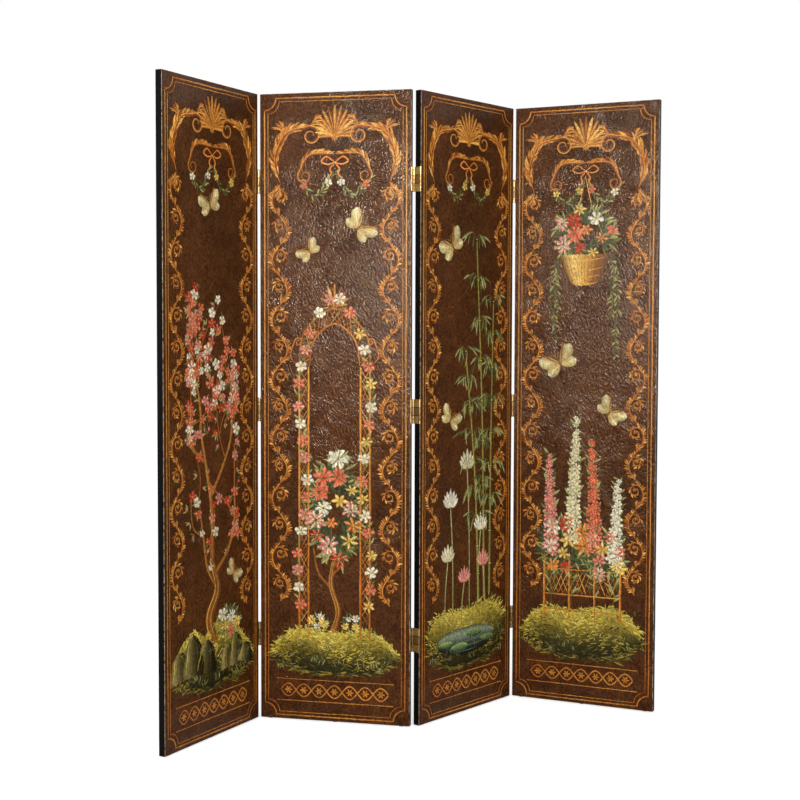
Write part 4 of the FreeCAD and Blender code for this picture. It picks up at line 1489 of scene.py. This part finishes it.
    def _lay(self, sheet: Brushwork) -> None:
        """Trim a sheet at the panel's edges, move it on to the painted face and dress it."""
        piece = sheet.mesh()
        select_only(piece)
        bpy.ops.object.mode_set(mode="EDIT")
        for edge, outward in ((self.edge_clearance, -1), (self.width - self.edge_clearance, 1)):
            bpy.ops.mesh.select_all(action="SELECT")
            bpy.ops.mesh.bisect(plane_co=(edge, 0, 0), plane_no=(outward, 0, 0), clear_outer=True)
        bpy.ops.object.mode_set(mode="OBJECT")
        flat_to_panel = Matrix(((MM, 0, 0, 0), (0, 0, -MM, 0), (0, MM, 0, 0), (0, 0, 0, 1)))
        piece.data.transform(self.place.matrix @ flat_to_panel)
        piece.data.materials.append(self.finish.make(self.place))
        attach(piece, self.place.body)
        log.info("%s: %d faces", piece.name, len(piece.data.polygons))


class PlumPanel(PaintedPanel):
    """Plum tree in blossom over rocks."""

    def picture(self) -> None:
        """Lay the bank, the rocks, the tree and the butterflies."""
        g = self.garden
        self.bank([262, 318, 292, 336, 300, 268])
        g.rock((130, 196), 112, 3)
        g.rock((336, 190), 84, 3)
        stem = g.trunk([(236, 262), (206, 340), (244, 420), (214, 510)], 30, 14)
        for root, *limb in ((-4, 1.5, 400, 13, 3), (-12, 0.75, 270, 9, 1), (-22, 2.3, 240, 8, 1)):
            g.tree(stem[root], *limb)
        g.bush((300, 320), (44, 34), 24, 6, 60, (WHITE, YELLOW, CORAL))
        for flight in (((322, 452), 70, 0.9), ((214, 1490), 88, 1.9)):
            g.butterfly(*flight)


class ArbourPanel(PaintedPanel):
    """Rose arbour over a rose tree."""

    def picture(self) -> None:
        """Lay the bank, the arbour, its roses, the rose tree and the butterflies."""
        g, s, x = self.garden, self.scrolls, self.middle
        self.bank([256, 280, 268, 268, 282, 258], 900, 40)
        for side in (-1, 1):
            for near in (78, 106):
                self.rule((x + side * near, 244), (x + side * near, 1040), 4.2)
            posts = [[(x + side * near, 290.0), (x + side * near, 1030.0)] for near in (80, 104)]
            low, high = (even(np.array(post), 60) for post in posts)
            s.bars(low, high, 34, 2, 1.1)
            s.scroll([(x + side * 106, 1042), (x + side * 132, 1070), (x + side * 120, 1116)], 3.8,
                     None, (12, side))
        outer = s.line([(x - 108, 1040), (x - 92, 1140), (x, 1210), (x + 92, 1140),
                        (x + 108, 1040)], 4.2)
        inner = s.line([(x - 76, 1040), (x - 62, 1116), (x, 1166), (x + 62, 1116), (x + 76, 1040)],
                       3.4)
        s.bars(inner, outer, 26, 2, 1.2)
        s.palmette((x, 1212), 70, 9, 1.1)
        for side, tones in ((-1, (CORAL, WHITE, ROSE)), (1, (YELLOW, CORAL, WHITE))):
            climb = g.spray([(x + side * 96, 280), (x + side * 112, 480), (x + side * 82, 700),
                             (x + side * 110, 960),
                             (x + side * 70, 1150), (x + side * 14, 1236)], 92, 24, 4.6, 1.7)
            for index, share in enumerate(np.linspace(0.06, 1, 18)):
                g.star(at(climb, share), 19, 6, tones[index % 3], tones[index % 3] is YELLOW)
        stem = g.trunk([(x - 6, 258), (x + 12, 330), (x - 10, 410), (x + 4, 500)], 13, 8)
        for root, heading in ((-18, 0.9), (-26, 2.3), (-6, 1.7)):
            g.trunk([stem[root], stem[root] + 60 * toward(heading),
                     stem[root] + 120 * np.array([math.cos(heading) * 0.7, 1.0])], 6, 3)
        g.bush((x, 628), (66, 158), 31, 25, 240, (CORAL, YELLOW, ROSE, ORANGE, WHITE, RED))
        for across in (-46, 52):
            g.bush((x + across, 292), (26, 20), 15, 4, 30, (YELLOW, WHITE))
        for flight in (((296, 1440), 88, 0.7), ((150, 1372), 66, 2.3)):
            g.butterfly(*flight)


class LotusPanel(PaintedPanel):
    """Lotus pool under bamboo."""

    def picture(self) -> None:
        """Lay the banks, the water, the lotus, the bamboo and the butterflies."""
        g, x = self.garden, self.middle
        self.bank([352, 326, 312, 318, 338, 368])
        pool = smooth([(84, 222), (x, 216), (366, 224)], 40)
        round_end = np.sqrt(1 - np.linspace(-0.995, 0.995, 24) ** 2)
        self.ground.stroke(pool, 44 * round_end, WATER, 0.36, Pen.FORM)
        for shift, start in ((-30, 12), (-16, 6), (-2, 10), (12, 5), (26, 11)):
            self.ground.stroke(beside(pool, shift)[start:40 - start], swell(8, 1.5), RIPPLE, 0.56)
        for pad in (((124, 216), 34), ((190, 200), 42), ((262, 234), 38), ((324, 210), 36)):
            g.pad(*pad)
        for index, height in enumerate((250, 410, 180, 520, 330, 220)):
            tone = (CREAM, WHITE, ROSE)[index % 3]
            g.lotus((118 + 40 * index, 216), height, 14 * (-1) ** index, 44 + height * 0.03, tone)
        for cane in (((312, 330), 1090, -46), ((338, 336), 900, 14), ((284, 326), 760, -70)):
            g.cane(*cane, 7.0)
        for flight in (((142, 884), 84, 1.1), ((150, 1392), 100, 2.2)):
            g.butterfly(*flight)


class BasketPanel(PaintedPanel):
    """Basket of flowers hung over a fretted fence."""

    def picture(self) -> None:
        """Lay the bank, the fence, the flowers behind it, the basket and the butterflies."""
        g, s, x = self.garden, self.scrolls, self.middle
        self.bank([292, 306, 288, 300, 312, 290])
        spikes = ((-98, 470, -10, ROSE), (-34, 590, 14, CREAM), (40, 520, -12, CORAL),
                  (100, 400, 12, WHITE))
        for across, height, lean, tone in spikes:
            g.spike((x + across, 300), height, lean, 21, tone)
        g.bush((x - 56, 486), (76, 76), 30, 13, 130, (ORANGE, YELLOW, RED, WHITE))
        g.bush((x + 70, 470), (62, 66), 28, 10, 110, (CORAL, ROSE, YELLOW))
        posts = np.linspace(104, self.width - 104, 4)
        for post in posts:
            self.rule((post, 262), (post, 440), 5.0)
            s.palmette((post, 442), 26, 5, 0.9)
        for level in (290, 336, 414):
            self.rule((posts[0], level), (posts[-1], level), 3.2)
        rails = [[(posts[0], level), (posts[-1], level)] for level in (340, 410)]
        low, high = (even(np.array(rail), 80) for rail in rails)
        s.bars(low, high, 16, 2, 1.5)
        for side in (-1, 1):
            s.line([(x, 1612), (x + side * 22, 1520), (x + side * 62, 1420)], 1.8, GILT_LIGHT, 0.24)
        form = [(0, 34), (0.1, 46), (0.6, 68), (0.92, 76), (1, 82)]
        g.basket((x, 1284), 96, form, WEAVE, (0.12, 0.36, 0.6, 0.92))
        for share in np.linspace(-0.8, 0.8, 11):
            s.line([(x + share * 44, 1292), (x + share * 66, 1334), (x + share * 78, 1368)], 1.5,
                   GILT_DARK, 0.62)
        g.bush((x, 1442), (90, 74), 28, 19, 190, (CORAL, ORANGE, ROSE, YELLOW, RED, WHITE))
        for side, drop in ((-1, 220), (1, 270), (-1, 130), (1, 150)):
            start = (x + side * (44 + drop * 0.1), 1380)
            g.spray([start, (start[0] + side * 30, 1330), (start[0] + side * 26, 1340 - drop)],
                    int(drop / 6), 20, 4.0)
        for flight in (((306, 900), 84, 0.8), ((150, 1046), 104, 2.1)):
            g.butterfly(*flight)


# ---------------------------------------------------------------- frames, hinges and glides


@dataclass
class HingeScrews:
    """Countersunk slotted screws, three in each leaf of each hinge."""

    finish: Brass
    leaf_thickness: float = 1.8 * MM
    head_radius: float = 2.6 * MM
    head_proud: float = 0.18 * MM
    slot_half: float = 0.35 * MM
    hinge_end_distance: float = 252 * MM
    pitch: float = 23 * MM
    stagger: float = 2.4 * MM
    hinge_spin: float = 0.7
    screw_spin: float = 1.9

    def head(self) -> bpy.types.Object:
        """One screw head, facing up at the origin, with its slot cut across."""
        select_only()
        bpy.ops.mesh.primitive_cylinder_add(
            vertices=20, radius=self.head_radius, depth=2 * self.head_proud, location=(0, 0, 0)
        )
        head = bpy.context.object
        bevel = head.modifiers.new("rounded rim", "BEVEL")
        bevel.width, bevel.segments, bevel.limit_method = self.head_proud * 0.6, 2, "ANGLE"
        bpy.ops.object.modifier_apply(modifier=bevel.name)
        bpy.ops.mesh.primitive_cube_add(size=2, location=(0, 0, self.head_proud))
        cutter = bpy.context.object
        bpy.ops.transform.resize(value=(self.head_radius * 2, self.slot_half,
                                        self.head_proud * 0.8))
        slot = head.modifiers.new("slot", "BOOLEAN")
        slot.operation, slot.object, slot.solver = "DIFFERENCE", cutter, "EXACT"
        bpy.context.view_layer.objects.active = head
        bpy.ops.object.modifier_apply(modifier=slot.name)
        bpy.data.objects.remove(cutter)
        return head

    def build(self, places: dict[int, PanelPlace]) -> None:
        """Copy the screw head to every leaf and join each panel edge's screws into one piece."""
        head = self.head()
        metal = self.finish.make(BrassPart.SCREW)
        for index, place in places.items():
            for side, neighbour in (("left", index - 1), ("right", index + 1)):
                if neighbour in places:
                    self._edge(head, place, side, metal)
        bpy.data.objects.remove(head)

    def _edge(self, head: bpy.types.Object, place: PanelPlace, side: str,
              metal: bpy.types.Material) -> None:
        """Screws in the leaves on one edge of a panel."""
        outward = 1 if side == "right" else -1
        face = place.width + self.leaf_thickness if side == "right" else -self.leaf_thickness
        levels = np.linspace(self.hinge_end_distance, place.height - self.hinge_end_distance, 3)
        copies = []
        for hinge, level in enumerate(levels):
            for step in (-1, 0, 1):
                copy = head.copy()
                copy.data = head.data.copy()
                bpy.context.collection.objects.link(copy)
                tip = Matrix.Rotation(outward * QUARTER, 4, "Y")
                angle = self.hinge_spin * hinge + self.screw_spin * step + place.index
                spin = Matrix.Rotation(angle, 4, "Z")
                spot = Vector((face, place.thickness / 2 + step % 2 * self.stagger,
                               level + step * self.pitch))
                copy.data.transform(place.matrix @ Matrix.Translation(spot) @ tip @ spin)
                copies.append(copy)
        select_only(*copies)
        bpy.ops.object.join()
        screws = copies[0]
        screws.name = screws.data.name = f"panel_{place.index}_screws_{side}"
        screws.data.materials.clear()
        screws.data.materials.append(metal)
        screws.data.shade_smooth()
        bpy.ops.object.shade_smooth_by_angle(angle=math.radians(40))
        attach(screws, place.body)
        log.info("%s: %d faces", screws.name, len(screws.data.polygons))


@dataclass
class DressedFrame:
    """Finishes for the nodes that come with the frame."""

    effects: Effects
    places: dict[int, PanelPlace]

    def dress(self) -> None:
        """Give every node its material."""
        brass, nylon = Brass(self.effects), Nylon(self.effects).make()
        leaf, link = brass.make(BrassPart.LEAF), brass.make(BrassPart.LINK)
        for name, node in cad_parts.items():
            if name.startswith("hinge"):
                self._paint(node, link if name.endswith("links") else leaf)
            elif name.endswith("glides"):
                self._paint(node, nylon)
        for index, place in self.places.items():
            finishes = {
                "painted_leather": Leather(self.effects).make(place),
                "back_board": BackPaint(self.effects).make(place),
                "front_board": BareWood(self.effects).make(place),
            }
            black = BlackPaint(self.effects).make(place)
            for part in ("painted_leather", "back_board", "front_board", "stile_left",
                         "stile_right", "bottom_rail", "top_rail", "cross_rails"):
                self._paint(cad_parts[f"panel_{index}_{part}"], finishes.get(part, black))

    @staticmethod
    def _paint(node: bpy.types.Object, finish: bpy.types.Material) -> None:
        """Put one material on a node."""
        node.data.materials.clear()
        node.data.materials.append(finish)
        log.info("%s: %s", node.name, finish.name)


# ---------------------------------------------------------------- studio


@dataclass(frozen=True)
class Studio:
    """Pale floor, soft light and the camera."""

    lens: float = 63.81
    sensor: float = 36.0
    pitch_down: float = 2.848
    roll: float = 0.1735
    camera_offset: tuple[float, float, float] = (0.6266, -3.7482, 1.1496)
    floor_reach: float = 30.0
    floor_white: float = 0.82
    floor_glow: float = 0.62
    sky: float = 0.5

    def build(self, first: PanelPlace) -> None:
        """Make everything round the screen.

        Args:
            first: Place of the first panel, whose painted corner the camera is measured from.
        """
        self._camera(first)
        self._floor()
        self._world()
        self._lamp("key", (-1.05, -2.3, 2.0), (0.1, 0.0, 1.3), (0.8, 0.8), 21.0, glossy=False)
        self._lamp("sheen", (-0.52, -2.37, 1.66), (0.2, 0.0, 1.45), (0.24, 0.4), 138.0,
                   diffuse=False)
        self._lamp("left", (-2.6, -3.6, 2.0), (0.0, 0.0, 1.0), (1.0, 1.0), 28.0)
        self._lamp("right", (3.0, -3.4, 2.2), (0.0, 0.0, 0.9), (1.6, 1.6), 51.0)

    def _camera(self, first: PanelPlace) -> None:
        """Camera at the photograph's angle."""
        data = bpy.data.cameras.new("camera")
        data.lens, data.sensor_width = self.lens, self.sensor
        camera = bpy.data.objects.new("camera", data)
        bpy.context.collection.objects.link(camera)
        camera.location = first.origin + Vector(self.camera_offset)
        turned = Matrix.Rotation(math.radians(90 - self.pitch_down), 4, "X")
        rolled = Matrix.Rotation(math.radians(self.roll), 4, "Z")
        camera.rotation_euler = (turned @ rolled).to_euler()
        bpy.context.scene.camera = camera

    def _floor(self) -> None:
        """Wide pale floor that keeps a faint shadow."""
        select_only()
        bpy.ops.mesh.primitive_plane_add(size=2 * self.floor_reach)
        floor = bpy.context.object
        floor.name = "floor"
        made = bpy.data.materials.new("floor")
        made.use_nodes = True
        g = Graph(made.node_tree)
        made.node_tree.nodes.remove(made.node_tree.nodes["Principled BSDF"])
        soft = g.add("BsdfDiffuse", {"Color": (self.floor_white,) * 3}).outputs[0]
        seen = g.add("LightPath").outputs["Is Camera Ray"]
        white = g.add("Emission", {"Strength": g.sum("MULTIPLY", seen, self.floor_glow)}).outputs[0]
        mixed = g.add("AddShader", {0: soft, 1: white}).outputs[0]
        output = made.node_tree.nodes["Material Output"]
        g.link(mixed, output.inputs["Surface"])
        floor.data.materials.append(made)

    def _world(self) -> None:
        """Even soft light that camera, gloss and glass see as white."""
        world = bpy.data.worlds.new("studio")
        bpy.context.scene.world = world
        world.use_nodes = True
        g = Graph(world.node_tree)
        paths = g.add("LightPath").outputs
        seen = g.sum("MAXIMUM", g.sum("MAXIMUM", paths["Is Camera Ray"], paths["Is Glossy Ray"]),
                     paths["Is Transmission Ray"])
        strength = g.blend(seen, self.sky, 1.0)
        shader = world.node_tree.nodes["Background"]
        shader.inputs["Color"].default_value = (1.0, 1.0, 1.0, 1.0)
        g.link(strength, shader.inputs["Strength"])

    @staticmethod
    def _lamp(name: str, spot: tuple[float, float, float], aim: tuple[float, float, float],
              size: tuple[float, float], power: float, diffuse: bool = True,
              glossy: bool = True) -> None:
        """Soft lamp, which can be left out of diffuse or of glossy reflections."""
        data = bpy.data.lights.new(name, "AREA")
        data.shape, data.size, data.size_y, data.energy = "RECTANGLE", size[0], size[1], power
        lamp = bpy.data.objects.new(name, data)
        bpy.context.collection.objects.link(lamp)
        lamp.location = spot
        lamp.visible_diffuse, lamp.visible_glossy = diffuse, glossy
        lamp.rotation_euler = (Vector(aim) - Vector(spot)).to_track_quat("-Z", "Y").to_euler()


def main() -> None:
    """Dress the frame, paint the panels and set up the studio."""
    logging.basicConfig(level=logging.INFO, format="%(message)s")
    bpy.context.scene.view_settings.view_transform = "Standard"
    effects = Effects()
    places = {index: PanelPlace.read(index) for index in (1, 2, 3, 4)}
    for place in places.values():
        log.info("panel %d turned %.2f degrees, %.4f wide", place.index, math.degrees(place.turn),
                 place.width)
    Studio().build(places[1])
    DressedFrame(effects, places).dress()
    HingeScrews(Brass(effects)).build(places)
    paint = Paintwork(effects)
    for place, panel in zip(places.values(), (PlumPanel, ArbourPanel, LotusPanel, BasketPanel)):
        panel(place, paint).build()


if __name__ == "__main__":
    main()
